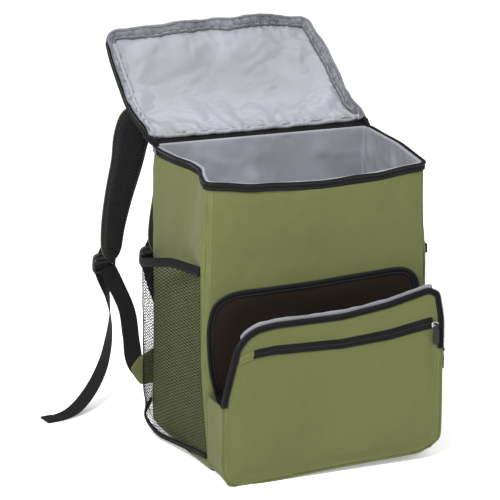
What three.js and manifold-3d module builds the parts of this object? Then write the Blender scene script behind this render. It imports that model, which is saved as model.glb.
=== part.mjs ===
// A cooler backpack standing open on its base: lid thrown back, front pocket gaping.
// Millimetres, +Z up, the wearer's back at +Y, the front pocket at -Y, origin under the base.
import * as THREE from "three";
import Module from "manifold-3d";
import { mergeVertices } from "three/addons/utils/BufferGeometryUtils.js";

const wasm = await Module();
wasm.setup();

// Driving sizes of the body
const bodyWidth = 300;
const bodyDepth = 206;
const rimHeight = 379;
const cornerRadius = 16;
const bottomRadius = 12;
const clothWall = 1.6;
const liningWall = 5;
const liningGap = 0.95;
const liningBottomRadius = 18;
const seamGap = 0.3;
const rimTapeHeight = 10;
const rimTapeStand = 0.6;

// Driving sizes of the lid
const lidLength = 206;
const lidSkirt = 13;
const skirtRun = 30;
const lidLiningWall = 4;
const lidLiningGap = 1.1;
const lidTapeHeight = 6;
const hingeReach = 8;
const hingeInset = 4;
const hingeDrop = 2;
const hingeFold = 3;
const hingeSink = 0.5;
const lidFootRise = 0.2;

// Driving sizes of the front pocket
const pocketHeight = 207;
const pocketGape = 57;
const pocketLiningWall = 1.2;
const pocketTapeWidth = 8;
const pocketTapeWall = 1.2;
const pocketTapeStand = 0.6;
const pocketLip = 5;
const gussetTop = 104;
const slipZipHeight = 13;
const slipTabLength = 24;

// Driving sizes of the sliders and pulls
const sliderLength = 9;
const sliderWidth = 8;
const sliderPlate = 2.2;
const barWall = 1.6;
const archLength = 7.4;
const archLeg = 1.4;
const pullEyeInner = 1.7;
const pullEyeWall = 1.2;
const pullEyeLength = 3.4;
const pullWidth = 7.5;
const pullLength = 21;
const pullWall = 2;
const pullClearance = 0.4;
const pullNeck = 3;
const pullShoulder = 4;
const pullSeat = 2;
const pocketSliderStand = 0.15;

// Driving sizes of the mesh pockets
const netTop = 258;
const netBottom = 24;
const netWall = 1.2;
const netBindingHeight = 11;
const netHemHeight = 6;
const netBindingWall = 2.2;
const netBulge = 30;
const netColumns = 6;
const netRows = 7;
const netHoleShare = 0.86;
const netSeamReach = 4;
const netStand = 0.3;

// Driving sizes of the shoulder straps
const strapCloth = 3;
const strapFoam = 6;
const strapWidest = 56;
const strapCrown = 0.8;
const strapMeshInset = 3;
const webbingWidth = 25;
const webbingWall = 1.4;
const buckleWidth = 34;
const buckleHeight = 30;
const buckleWall = 5;
const buckleRail = 4;
const buckleRound = 5.5;
const tabWall = 2;

const halfWidth = bodyWidth / 2;
const halfDepth = bodyDepth / 2;
const group = new THREE.Group();

function cloth(color) {
  return new THREE.MeshStandardMaterial({ color, roughness: 0.9, metalness: 0 });
}
const olive = cloth(0x76824a);
const blackWeb = cloth(0x2b2b2d);
const airMesh = cloth(0x1d1c1d);
const greyLining = new THREE.MeshStandardMaterial({ color: 0xa9abb2, roughness: 0.45, metalness: 0.1 });
const greyPlastic = new THREE.MeshStandardMaterial({ color: 0x5a5b5d, roughness: 0.5, metalness: 0 });
const paleMetal = new THREE.MeshStandardMaterial({ color: 0xb9bab8, roughness: 0.35, metalness: 0.9 });
const blackRubber = new THREE.MeshStandardMaterial({ color: 0x262627, roughness: 0.6, metalness: 0 });

function add(name, material, geometry) {
  const mesh = new THREE.Mesh(geometry, material);
  mesh.name = name;
  group.add(mesh);
  return mesh;
}

const mix = (a, b, t) => a + (b - a) * t;
const clamp01 = (t) => Math.min(1, Math.max(0, t));

function smooth(from, to, value) {
  const t = clamp01((value - from) / (to - from));
  return t * t * (3 - 2 * t);
}

// Reads one column of a table at a place between its rows.
function lookUp(table, key, column, value) {
  const next = table.findIndex((row) => row[key] >= value);
  if (next <= 0) return table[next === 0 ? 0 : table.length - 1][column];
  const a = table[next - 1];
  const b = table[next];
  return mix(a[column], b[column], (value - a[key]) / (b[key] - a[key]));
}

function steps(count, from = 0, to = 1) {
  return Array.from({ length: count + 1 }, (_, i) => mix(from, to, i / count));
}

// A closed geometry from points and triangles, turned to face outward.
function closed(points, faces) {
  let volume = 0;
  for (let i = 0; i < faces.length; i += 3) {
    const [a, b, c] = [points[faces[i]], points[faces[i + 1]], points[faces[i + 2]]];
    volume += a.dot(b.clone().cross(c));
  }
  const order = volume > 0 ? faces : faces.slice().reverse();
  const geometry = new THREE.BufferGeometry().setFromPoints(points);
  geometry.setIndex(order);
  geometry.computeVertexNormals();
  return geometry;
}

// A closed sheet between two grids of points with the same rows and columns.
function slab(front, back) {
  const rows = front.length - 1;
  const cols = front[0].length - 1;
  const points = [...front.flat(), ...back.flat()];
  const at = (side, r, c) => side * (rows + 1) * (cols + 1) + r * (cols + 1) + c;
  const faces = [];
  const quad = (a, b, c, d) => faces.push(a, b, c, a, c, d);
  for (let r = 0; r < rows; r++) {
    for (let c = 0; c < cols; c++) {
      quad(at(0, r, c), at(0, r, c + 1), at(0, r + 1, c + 1), at(0, r + 1, c));
      quad(at(1, r, c), at(1, r + 1, c), at(1, r + 1, c + 1), at(1, r, c + 1));
    }
  }
  for (let c = 0; c < cols; c++) {
    quad(at(0, 0, c), at(1, 0, c), at(1, 0, c + 1), at(0, 0, c + 1));
    quad(at(0, rows, c), at(0, rows, c + 1), at(1, rows, c + 1), at(1, rows, c));
  }
  for (let r = 0; r < rows; r++) {
    quad(at(0, r, 0), at(0, r + 1, 0), at(1, r + 1, 0), at(1, r, 0));
    quad(at(0, r, cols), at(1, r, cols), at(1, r + 1, cols), at(0, r + 1, cols));
  }
  return closed(points, faces);
}

// A closed solid through rings of points, with a fan over the first and the last ring.
function loft(rings) {
  const n = rings[0].length;
  const points = rings.flat();
  const faces = [];
  for (let r = 0; r < rings.length - 1; r++) {
    for (let c = 0; c < n; c++) {
      const a = r * n + c;
      const b = r * n + ((c + 1) % n);
      faces.push(a, b, b + n, a, b + n, a + n);
    }
  }
  for (const ring of [0, rings.length - 1]) {
    const centre = rings[ring].reduce((sum, p) => sum.add(p), new THREE.Vector3()).divideScalar(n);
    const middle = points.push(centre) - 1;
    for (let c = 0; c < n; c++) {
      const a = ring * n + c;
      const b = ring * n + ((c + 1) % n);
      faces.push(middle, ring ? a : b, ring ? b : a);
    }
  }
  return closed(points, faces);
}

// A sheet with a diamond hole in each cell of its grid; place(u, v, side) gives its points.
function net(place, cols, rows, holeShare) {
  const points = [];
  const known = new Map();
  const at = (u, v, side) => {
    const key = `${u.toFixed(6)} ${v.toFixed(6)} ${side}`;
    if (!known.has(key)) known.set(key, points.push(place(u, v, side)) - 1);
    return known.get(key);
  };
  const faces = [];
  const wall = (p, q) => {
    const [p0, p1, q0, q1] = [at(...p, 0), at(...p, 1), at(...q, 0), at(...q, 1)];
    faces.push(q0, p0, p1, q0, p1, q1);
  };
  for (let i = 0; i < cols; i++) {
    for (let j = 0; j < rows; j++) {
      const cell = (x, y) => [(i + x) / cols, (j + y) / rows];
      const half = holeShare / 2;
      const [a, b, c, d] = [cell(0, 0), cell(1, 0), cell(1, 1), cell(0, 1)];
      const [s, e] = [cell(0.5, 0.5 - half), cell(0.5 + half, 0.5)];
      const [n, w] = [cell(0.5, 0.5 + half), cell(0.5 - half, 0.5)];
      for (const [p, q, r] of [[a, b, s], [b, e, s], [b, c, e], [c, n, e], [c, d, n], [d, w, n], [d, a, w], [a, s, w]]) {
        faces.push(at(...p, 0), at(...q, 0), at(...r, 0), at(...p, 1), at(...r, 1), at(...q, 1));
      }
      [[e, s], [s, w], [w, n], [n, e]].forEach(([p, q]) => wall(p, q));
      if (j === 0) wall(a, b);
      if (i === cols - 1) wall(b, c);
      if (j === rows - 1) wall(c, d);
      if (i === 0) wall(d, a);
    }
  }
  return closed(points, faces);
}

// Joins closed geometries into one body.
function join(...geometries) {
  const solids = geometries.map((geometry) => {
    const bare = geometry.clone();
    bare.deleteAttribute("normal");
    bare.deleteAttribute("uv");
    const merged = mergeVertices(bare, 1e-4);
    const vertProperties = new Float32Array(merged.attributes.position.array);
    const triVerts = new Uint32Array(merged.index.array);
    return new wasm.Manifold(new wasm.Mesh({ numProp: 3, vertProperties, triVerts }));
  });
  const mesh = solids.reduce((whole, solid) => whole.add(solid)).getMesh();
  const geometry = new THREE.BufferGeometry();
  geometry.setAttribute("position", new THREE.BufferAttribute(mesh.vertProperties, 3));
  geometry.setIndex(new THREE.BufferAttribute(mesh.triVerts, 1));
  geometry.computeVertexNormals();
  return geometry;
}

// How the soft walls leave the square box; along runs from front to back or left to right.
const leftRimBow = [
  { along: 0, inward: 0.01 },
  { along: 0.2, inward: 0.037 },
  { along: 0.34, inward: 0.068 },
  { along: 0.48, inward: 0.062 },
  { along: 0.66, inward: 0.025 },
  { along: 0.85, inward: 0.01 },
  { along: 1, inward: 0.008 },
];
const rightRimBow = [
  { along: 0, inward: 0.014 },
  { along: 0.5, inward: -0.014 },
  { along: 1, inward: -0.004 },
];
const leftFootBow = [
  { along: 0, inward: 0.03 },
  { along: 0.45, inward: 0.004 },
  { along: 1, inward: -0.012 },
];
const frontRimSag = [
  { along: 0, down: 0, forward: 0 },
  { along: 0.2, down: 0.02, forward: 0.024 },
  { along: 0.5, down: 0.03, forward: 0.034 },
  { along: 0.75, down: 0.02, forward: 0.028 },
  { along: 1, down: 0, forward: 0 },
];
const rimBowDepth = 0.42;
const footBowDepth = 0.4;
const sagDepth = 0.3;

// Moves a point of the square box to where the soft bag holds it.
function soften(x, y, z) {
  const across = clamp01((x + halfWidth) / bodyWidth);
  const along = clamp01((y + halfDepth) / bodyDepth);
  const up = z / rimHeight;
  const side = smooth(0.35, 0.93, Math.abs(x) / halfWidth);
  const rimPart = smooth(1 - rimBowDepth, 1, up);
  const footPart = 1 - smooth(0, footBowDepth, up);
  const rimBow = lookUp(x < 0 ? leftRimBow : rightRimBow, "along", "inward", along);
  const footBow = x < 0 ? lookUp(leftFootBow, "along", "inward", along) : 0;
  const inward = side * bodyWidth * (rimBow * rimPart + footBow * footPart);
  const front = smooth(0.1, 0.95, -y / halfDepth);
  const sagPart = front * smooth(1 - sagDepth, 1, up);
  return new THREE.Vector3(
    x - Math.sign(x) * inward,
    y - bodyWidth * lookUp(frontRimSag, "along", "forward", across) * sagPart,
    z - bodyWidth * lookUp(frontRimSag, "along", "down", across) * sagPart,
  );
}

// The rounded foot of a wall: how far it draws in at a height.
function footInset(z, radius) {
  return z >= radius ? 0 : radius - Math.sqrt(radius ** 2 - (radius - z) ** 2);
}

// Stations along one side wall, from its front corner to its back corner.
const sideStations = [
  ...steps(3).map((t) => ({ corner: -1, turn: (t * Math.PI) / 2 })),
  ...steps(7).slice(1, -1).map((t) => ({ corner: 0, along: t })),
  ...steps(3).map((t) => ({ corner: 1, turn: (t * Math.PI) / 2 })),
];
const frontStations = steps(8, -1, 1);

function sidePoint(station, sign, inset, z) {
  const reach = halfDepth - cornerRadius;
  const radius = cornerRadius - inset;
  if (station.corner === 0) {
    return soften(sign * (halfWidth - inset), mix(-reach, reach, station.along), z);
  }
  const out = station.corner < 0 ? Math.sin(station.turn) : Math.cos(station.turn);
  const away = station.corner < 0 ? Math.cos(station.turn) : Math.sin(station.turn);
  return soften(
    sign * (halfWidth - cornerRadius + radius * out),
    station.corner * (reach + radius * away),
    z,
  );
}

function facePoint(share, end, inset, z, gap) {
  return soften(share * (halfWidth - cornerRadius - gap), end * (halfDepth - inset), z);
}

const wallShares = [0.16, 0.32, 0.5, 0.65, 0.77, 0.87];
const wallHeights = [bottomRadius * 0.4, bottomRadius, ...wallShares.map((share) => share * rimHeight)];

function wallRows(top) {
  return [clothWall + seamGap, ...wallHeights.filter((z) => z < top - 5), top];
}

function wall(rows, stations, place) {
  const grid = (depth) => rows.map((z) => stations.map((s) => place(s, footInset(z, bottomRadius) + depth, z)));
  return slab(grid(0), grid(clothWall));
}

function ringPoints(inset, z) {
  const left = sideStations.map((s) => sidePoint(s, -1, inset, z));
  const right = sideStations.map((s) => sidePoint(s, 1, inset, z));
  const front = frontStations.slice(1, -1).map((s) => facePoint(s, -1, inset, z, 0));
  const back = frontStations.slice(1, -1).map((s) => facePoint(s, 1, inset, z, 0));
  return [...left, ...back, ...right.reverse(), ...front.reverse()];
}

function addBody() {
  const top = rimHeight - rimTapeHeight - seamGap;
  const rows = wallRows(top);
  add("body_front_panel", olive, wall(rows, frontStations, (s, d, z) => facePoint(s, -1, d, z, seamGap)));
  add("body_back_panel", olive, wall(rows, frontStations, (s, d, z) => facePoint(s, 1, d, z, seamGap)));
  add("body_side_left", olive, wall(rows, sideStations, (s, d, z) => sidePoint(s, -1, d, z)));
  add("body_side_right", olive, wall(rows, sideStations, (s, d, z) => sidePoint(s, 1, d, z)));
  const foot = footInset(clothWall, bottomRadius);
  add("body_bottom_panel", olive, loft([ringPoints(foot, 0), ringPoints(foot, clothWall)]));
}

// The insulated lining: a bucket inside the walls whose edge just shows above the rim tape.
function addLining() {
  const base = clothWall + 2 * seamGap;
  const rows = [base, ...wallRows(rimHeight - rimTapeHeight - seamGap).slice(1), rimHeight];
  const outside = rows.map((z) => ringPoints(clothWall + liningGap + footInset(z, liningBottomRadius), z));
  const inside = rows.map((z) => {
    const height = Math.max(z, base + liningWall);
    const inset = clothWall + liningGap + liningWall + footInset(height - liningWall, liningBottomRadius);
    return ringPoints(inset, z === base ? base + liningWall : height);
  });
  const innerRows = inside.filter((_, i) => i === 0 || rows[i] > base + liningWall + 1);
  add("cooler_lining", greyLining, loft([...outside, ...innerRows.reverse()]));
}

function rimPath(inset, z) {
  const left = sideStations.map((s) => sidePoint(s, -1, inset, z)).reverse();
  const right = sideStations.map((s) => sidePoint(s, 1, inset, z));
  return [...left, ...frontStations.slice(1, -1).map((s) => facePoint(s, -1, inset, z, 0)), ...right];
}

function addRim() {
  const low = rimHeight - rimTapeHeight;
  add("rim_zip_tape", blackWeb, slab(
    [rimPath(-rimTapeStand, low), rimPath(-rimTapeStand, rimHeight)],
    [rimPath(clothWall, low), rimPath(clothWall, rimHeight)],
  ));
}

// The lid's run from the hinge, as shares of its length, along its left and right edges.
const lidRun = [
  { along: 0, leftBack: 0, leftUp: 0, rightBack: 0, rightUp: 0 },
  { along: 0.14, leftBack: 0.135, leftUp: 0.04, rightBack: 0.13, rightUp: 0.052 },
  { along: 0.32, leftBack: 0.31, leftUp: 0.085, rightBack: 0.285, rightUp: 0.145 },
  { along: 0.48, leftBack: 0.455, leftUp: 0.155, rightBack: 0.415, rightUp: 0.24 },
  { along: 0.64, leftBack: 0.595, leftUp: 0.245, rightBack: 0.55, rightUp: 0.33 },
  { along: 0.82, leftBack: 0.745, leftUp: 0.345, rightBack: 0.70, rightUp: 0.42 },
  { along: 1, leftBack: 0.875, leftUp: 0.47, rightBack: 0.845, rightUp: 0.52 },
];
const lidDish = 0.035;

function lidBase(x, s) {
  const along = s / lidLength;
  const across = (x + halfWidth) / bodyWidth;
  const back = mix(lookUp(lidRun, "along", "leftBack", along), lookUp(lidRun, "along", "rightBack", along), across);
  const up = mix(lookUp(lidRun, "along", "leftUp", along), lookUp(lidRun, "along", "rightUp", along), across);
  const dish = lidDish * Math.sin(Math.PI * clamp01(across)) * Math.sin(Math.PI * clamp01(along));
  return new THREE.Vector3(x, halfDepth + back * lidLength, rimHeight + (up - dish) * lidLength);
}

// A point of the lid: x across, s along from the hinge, n above the lid's outer face.
function lidPoint(x, s, n) {
  const step = 6;
  const low = Math.max(0, s - step);
  const ahead = lidBase(x, Math.min(lidLength, low + 2 * step)).sub(lidBase(x, low));
  const across = lidBase(x + step, s).sub(lidBase(x - step, s));
  const normal = across.cross(ahead).normalize();
  return lidBase(x, s).addScaledVector(normal, n);
}

function lidOutline(inset) {
  const radius = cornerRadius - inset;
  const near = hingeReach + inset;
  const far = lidLength - cornerRadius;
  const side = halfWidth - cornerRadius;
  const points = [];
  steps(6).forEach((t) => points.push([-side - radius, mix(near, far, t)]));
  steps(3).slice(1).forEach((t) => {
    const turn = (t * Math.PI) / 2;
    points.push([-side - radius * Math.cos(turn), far + radius * Math.sin(turn)]);
  });
  steps(6).slice(1, -1).forEach((t) => points.push([mix(-side, side, t), far + radius]));
  steps(3).slice(0, -1).forEach((t) => {
    const turn = (t * Math.PI) / 2;
    points.push([side + radius * Math.sin(turn), far + radius * Math.cos(turn)]);
  });
  steps(6).reverse().forEach((t) => points.push([side + radius, mix(near, far, t)]));
  steps(5).slice(1, -1).forEach((t) => points.push([mix(side + radius, -side - radius, t), near]));
  return points;
}

// A ring of the lid: the outline drawn in towards its middle and lifted by n.
function lidRing(inset, share, n) {
  const middle = (hingeReach + lidLength) / 2;
  return lidOutline(inset).map(([x, s]) => lidPoint(x * share, mix(middle, s, share), n));
}

// The skirt's edge: it rises to its full height over a short run from the hinge.
function skirtHeight(s, floor, high) {
  return mix(floor, high, smooth(hingeReach, hingeReach + skirtRun, s));
}

function skirtRing(inset, floor, high) {
  return lidOutline(inset).map(([x, s]) => lidPoint(x, s, skirtHeight(s, floor, high)));
}

const lidShares = [0.1, 0.32, 0.54, 0.76, 0.92];

function lidTray(inset, wallBase, wallSide, low, high) {
  const under = lidShares.map((share) => lidRing(0, share, low));
  const over = lidShares.map((share) => lidRing(0, share, low + wallBase));
  return loft([
    ...under,
    lidRing(inset, 1, low),
    skirtRing(inset, low + wallBase + lidFootRise, high),
    skirtRing(inset + wallSide, low + wallBase + lidFootRise, high),
    lidRing(inset + wallSide, 1, low + wallBase),
    ...over.reverse(),
  ]);
}

function addLid() {
  const skirtTop = lidSkirt - lidTapeHeight;
  add("lid_outer", olive, lidTray(0, clothWall, clothWall, 0, skirtTop));
  const liningInset = clothWall + lidLiningGap;
  add("lid_lining", greyLining, lidTray(liningInset, lidLiningWall, liningWall / 2, liningInset, lidSkirt - 1));
  const open = lidOutline(-rimTapeStand).length - 4;
  const foot = clothWall + lidFootRise;
  const path = (inset, low, high) => lidOutline(inset).slice(0, open).map(
    ([x, s]) => lidPoint(x, s, skirtHeight(s, low, high) + seamGap),
  );
  add("lid_zip_tape", blackWeb, slab(
    [path(-rimTapeStand, foot, skirtTop), path(-rimTapeStand, foot + lidTapeHeight / 2, lidSkirt)],
    [path(clothWall, foot, skirtTop), path(clothWall, foot + lidTapeHeight / 2, lidSkirt)],
  ));
}

// The binding that joins the back wall's top to the lid.
function addHinge() {
  const side = halfWidth - cornerRadius - hingeInset;
  const outer = halfDepth;
  const rows = (depth) => [
    (x) => soften(x, outer - depth, rimHeight - rimTapeHeight),
    (x) => soften(x, outer - depth, rimHeight - hingeDrop),
    (x) => lidPoint(x, hingeFold, depth - hingeSink),
    (x) => lidPoint(x, hingeReach - seamGap, depth),
  ];
  const grid = (depth) => rows(depth).map((row) => steps(10, -side, side).map(row));
  add("hinge_binding", blackWeb, slab(grid(0), grid(clothWall)));
}

// The pocket's front panel: its four edges as shares of the half width and the pocket height.
const pocketLeft = [
  { up: 0, x: -0.93, z: 0.03 },
  { up: 0.12, x: -0.965, z: 0.12 },
  { up: 0.55, x: -0.967, z: 0.55 },
  { up: 0.75, x: -0.91, z: 0.71 },
  { up: 1, x: -0.85, z: 0.87 },
];
const pocketRight = [
  { up: 0, x: 0.93, z: 0.07 },
  { up: 0.12, x: 0.99, z: 0.14 },
  { up: 0.55, x: 0.985, z: 0.58 },
  { up: 0.85, x: 1.0, z: 0.9 },
  { up: 1, x: 0.965, z: 1.06 },
];
const pocketBottom = [
  { across: 0, x: -0.93, z: 0.03 },
  { across: 0.08, x: -0.8, z: 0.012 },
  { across: 0.5, x: 0, z: 0.03 },
  { across: 0.93, x: 0.8, z: 0.052 },
  { across: 1, x: 0.93, z: 0.07 },
];
const pocketTop = [
  { across: 0, x: -0.85, z: 0.87 },
  { across: 0.07, x: -0.77, z: 0.945 },
  { across: 0.15, x: -0.66, z: 0.985 },
  { across: 0.25, x: -0.5, z: 1.0 },
  { across: 0.55, x: 0.1, z: 1.0 },
  { across: 0.75, x: 0.5, z: 1.035 },
  { across: 0.93, x: 0.88, z: 1.1 },
  { across: 1, x: 0.965, z: 1.06 },
];
const pocketBelly = [
  { up: 0, left: 0.86, right: 0.8 },
  { up: 0.3, left: 0.95, right: 0.86 },
  { up: 0.6, left: 1.0, right: 0.86 },
  { up: 1, left: 0.98, right: 0.74 },
];

function edgePoint(table, key, value) {
  return [lookUp(table, key, "x", value) * halfWidth, lookUp(table, key, "z", value) * pocketHeight];
}

// The panel's sheet between its four edges; u runs left to right and v runs up.
function pocketSheet(u, v) {
  const [left, right] = [edgePoint(pocketLeft, "up", v), edgePoint(pocketRight, "up", v)];
  const [low, high] = [edgePoint(pocketBottom, "across", u), edgePoint(pocketTop, "across", u)];
  const corners = [edgePoint(pocketLeft, "up", 0), edgePoint(pocketRight, "up", 0),
    edgePoint(pocketLeft, "up", 1), edgePoint(pocketRight, "up", 1)];
  const [x, z] = [0, 1].map((k) => mix(left[k], right[k], u) + mix(low[k], high[k], v)
    - mix(mix(corners[0][k], corners[1][k], u), mix(corners[2][k], corners[3][k], u), v));
  const belly = mix(lookUp(pocketBelly, "up", "left", v), lookUp(pocketBelly, "up", "right", v), u);
  return new THREE.Vector3(x, -halfDepth - pocketGape * belly, z);
}

// A point in front of (out > 0) or behind the panel's outer face.
function pocketPoint(u, v, out) {
  const h = 0.02;
  const [a, b, c, d] = [clamp01(u - h), clamp01(u + h), clamp01(v - h), clamp01(v + h)];
  const across = pocketSheet(b, v).sub(pocketSheet(a, v));
  const ahead = pocketSheet(u, d).sub(pocketSheet(u, c));
  return pocketSheet(u, v).addScaledVector(across.cross(ahead).normalize(), out);
}

const pocketColumns = [0, 0.07, 0.15, 0.25, 0.4, 0.55, 0.7, 0.84, 0.93, 1];
const pocketRows = [0, 0.05, 0.12, 0.3, 0.5, 0.62, 0.75, 0.88, 1];

function panelPatch(columns, rows, near, far) {
  const grid = (out) => rows.map((v) => columns.map((u) => pocketPoint(u, v, out)));
  return slab(grid(near), grid(far));
}

// How far up the panel's right side the zip's slider sits.
const sliderAlong = 0.66;

// The run of the zip round the panel's edge: up the left side, over the top, down the right.
const zipRun = [
  ...steps(4, 0.52, 0.98).map((v) => [0, v]),
  ...[0, 0.07, 0.15, 0.25, 0.4, 0.55, 0.7, 0.84, 0.93, 1].map((u) => [u, 1]),
  ...steps(4, 0.98, 0.68).map((v) => [1, v]),
];

function addPocketPanel() {
  add("pocket_front_panel", olive, panelPatch(pocketColumns, pocketRows, 0, -clothWall));
  const lip = pocketLip / pocketHeight;
  const far = clothWall + seamGap;
  const grid = (depth) => [...pocketRows.slice(1), 2].map((v) => pocketColumns.slice(1, -1).map((u) => (
    v > 1 ? pocketPoint(u, 1, -depth).add(new THREE.Vector3(0, 0, lip * pocketHeight)) : pocketPoint(u, v, -depth)
  )));
  add("pocket_lining", greyLining, slab(grid(far), grid(far + pocketLiningWall)));
  const inwardU = pocketTapeWidth / bodyWidth;
  const inwardV = pocketTapeWidth / pocketHeight;
  const inner = ([u, v]) => [mix(inwardU, 1 - inwardU, u), Math.min(v, 1 - inwardV)];
  const strip = (out) => [zipRun, zipRun.map(inner)].map((run) => run.map(([u, v]) => pocketPoint(u, v, out)));
  add("pocket_zip_front", blackWeb, slab(strip(pocketTapeStand), strip(pocketTapeStand + pocketTapeWall)));
}

// The gusset: one strip from the left side, under the pocket and up the right side.
function addGusset() {
  const leftTop = gussetTop / pocketHeight;
  const run = [
    ...steps(4, leftTop, 0).map((v) => [0, v]),
    ...[0.08, 0.3, 0.5, 0.7, 0.93].map((u) => [u, 0]),
    ...steps(5, 0, sliderAlong + 0.02).map((v) => [1, v]),
  ];
  const middle = new THREE.Vector3(0, 0, pocketHeight / 2);
  const line = run.map(([u, v]) => pocketPoint(u, v, -(clothWall + seamGap)));
  const inward = line.map((p, i) => {
    const a = line[Math.max(0, i - 1)];
    const b = line[Math.min(line.length - 1, i + 1)];
    const side = new THREE.Vector3(-(b.z - a.z), 0, b.x - a.x).normalize();
    return side.dot(middle.clone().sub(p)) < 0 ? side.negate() : side;
  });
  const back = -halfDepth - seamGap;
  const grid = (depth) => line.map((p, i) => steps(3).map((t) => {
    const q = p.clone().addScaledVector(inward[i], depth);
    return new THREE.Vector3(q.x, mix(p.y, back, t), q.z);
  }));
  add("pocket_gusset", olive, slab(grid(0), grid(clothWall)));
}

// The zip tape left on the body's front wall, as shares of the half width and pocket height.
const bodyZipRun = [
  { x: -0.86, z: 0.46 },
  { x: -0.9, z: 0.6 },
  { x: -0.925, z: 0.76 },
  { x: -0.925, z: 0.95 },
  { x: -0.88, z: 1.07 },
  { x: -0.76, z: 1.12 },
  { x: -0.4, z: 1.14 },
  { x: 0, z: 1.15 },
  { x: 0.45, z: 1.17 },
  { x: 0.8, z: 1.17 },
  { x: 0.9, z: 1.1 },
  { x: 0.925, z: 0.98 },
  { x: 0.925, z: 0.72 },
];

function addBodyZip() {
  const middle = new THREE.Vector2(0, pocketHeight * 0.6);
  const line = bodyZipRun.map((p) => new THREE.Vector2(p.x * halfWidth, p.z * pocketHeight));
  const inner = line.map((p) => p.clone().sub(middle).setLength(p.distanceTo(middle) - pocketTapeWidth).add(middle));
  const grid = (depth) => [line, inner].map((run) => run.map((p) => soften(p.x, -halfDepth - depth, p.y)));
  add("pocket_zip_back", blackWeb, slab(grid(pocketTapeStand), grid(pocketTapeStand + pocketTapeWall)));
}

// The zip of the slip pocket across the panel, with a cloth tab over its left end.
const slipZipOut = pocketTapeStand + pocketTapeWall;
const slipRun = { left: 0.14, right: 0.93, low: 0.775 };
const slipSliderAcross = 0.955;

function addSlipZip() {
  const rise = slipZipHeight / pocketHeight;
  const tab = slipTabLength / bodyWidth;
  const columns = steps(8, slipRun.left, slipRun.right);
  const rows = [slipRun.low, slipRun.low + rise];
  add("slip_zip", blackWeb, panelPatch(columns, rows, pocketTapeStand, slipZipOut));
  const end = slipRun.left - seamGap / bodyWidth;
  add("slip_zip_tab", olive, panelPatch([end - tab, end], rows, pocketTapeStand, slipZipOut));
}

// A box by its low and high corners.
function box(low, high) {
  const size = high.map((v, i) => v - low[i]);
  return new THREE.BoxGeometry(...size).translate(...low.map((v, i) => v + size[i] / 2));
}

// A slider in its own frame: the zip runs along X, it faces -Y, its plate's back is at Y = 0.
const eyeOuter = pullEyeInner + pullEyeWall;
const barOut = sliderPlate + eyeOuter + pullClearance;

function sliderSolid() {
  const plate = box([-sliderLength / 2, -sliderPlate, -sliderWidth / 2], [sliderLength / 2, 0, sliderWidth / 2]);
  const top = barOut + barWall / 2;
  const half = archLength / 2;
  const bar = box([-half, -top, -barWall / 2], [half, -top + barWall, barWall / 2]);
  const legs = [-1, 1].map((s) => box(
    [Math.min(s * half, s * (half - archLeg)), -top, -barWall / 2],
    [Math.max(s * half, s * (half - archLeg)), -sliderPlate / 2, barWall / 2],
  ));
  return join(plate, bar, ...legs);
}

const pullShoulderShare = 0.7;

// The pull hangs from the bar, which is its frame's origin and its hinge line along X.
function pullSolid() {
  const ring = new THREE.Shape();
  ring.absarc(0, 0, eyeOuter, 0, Math.PI * 2);
  const hole = new THREE.Path();
  hole.absarc(0, 0, pullEyeInner, 0, Math.PI * 2, true);
  ring.holes.push(hole);
  const eye = new THREE.ExtrudeGeometry(ring, { depth: pullEyeLength, bevelEnabled: false, curveSegments: 6 });
  eye.translate(0, 0, -pullEyeLength / 2).rotateY(Math.PI / 2);
  const top = -(pullEyeInner + pullEyeWall / 2);
  const neck = box([-pullEyeLength / 2, -pullWall / 2, top - pullNeck], [pullEyeLength / 2, pullWall / 2, top]);
  const half = pullWidth / 2;
  const tab = new THREE.Shape();
  tab.moveTo(-half * pullShoulderShare, 0);
  tab.lineTo(half * pullShoulderShare, 0);
  tab.lineTo(half, -pullShoulder);
  tab.lineTo(half, -pullLength + half);
  tab.absarc(0, -pullLength + half, half, 0, -Math.PI, true);
  tab.lineTo(-half, -pullShoulder);
  const blade = new THREE.ExtrudeGeometry(tab, { depth: pullWall, bevelEnabled: false, curveSegments: 6 });
  blade.translate(0, 0, -pullWall / 2).rotateX(Math.PI / 2).translate(0, 0, top - pullSeat);
  return join(eye, neck, blade);
}

function addSlider(name, place, turn) {
  const slider = add(`${name}_slider`, name === "slip" ? paleMetal : greyPlastic, sliderSolid());
  const pull = add(`${name}_pull`, blackRubber, pullSolid());
  slider.position.copy(place);
  slider.rotation.z = turn;
  pull.position.copy(place.clone().add(new THREE.Vector3(barOut * Math.sin(turn), -barOut * Math.cos(turn), 0)));
  pull.rotation.z = turn;
}

function addSliders() {
  const rise = slipZipHeight / pocketHeight;
  const stand = seamGap + slipZipOut;
  const slipPlace = pocketPoint(slipSliderAcross, slipRun.low + rise / 2, 0);
  addSlider("slip", slipPlace.add(new THREE.Vector3(0, -stand, 0)), 0);
  const edge = pocketPoint(1, sliderAlong, -(clothWall + seamGap));
  const beside = new THREE.Vector3(seamGap + pocketSliderStand, sliderLength / 2 + seamGap, 0);
  addSlider("pocket", edge.add(beside), Math.PI / 2);
  for (const sign of [-1, 1]) {
    const corner = sidePoint({ corner: 1, turn: 0 }, sign, -rimTapeStand, rimHeight - rimTapeHeight / 2);
    const body = box([0, -sliderLength, -sliderWidth / 2], [sliderPlate, 0, sliderWidth / 2]);
    const gap = sign > 0 ? seamGap : -seamGap - sliderPlate;
    const slider = add(`rim_slider_${sign < 0 ? "left" : "right"}`, paleMetal, body);
    slider.position.set(corner.x + gap, corner.y, corner.z);
  }
}

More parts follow.
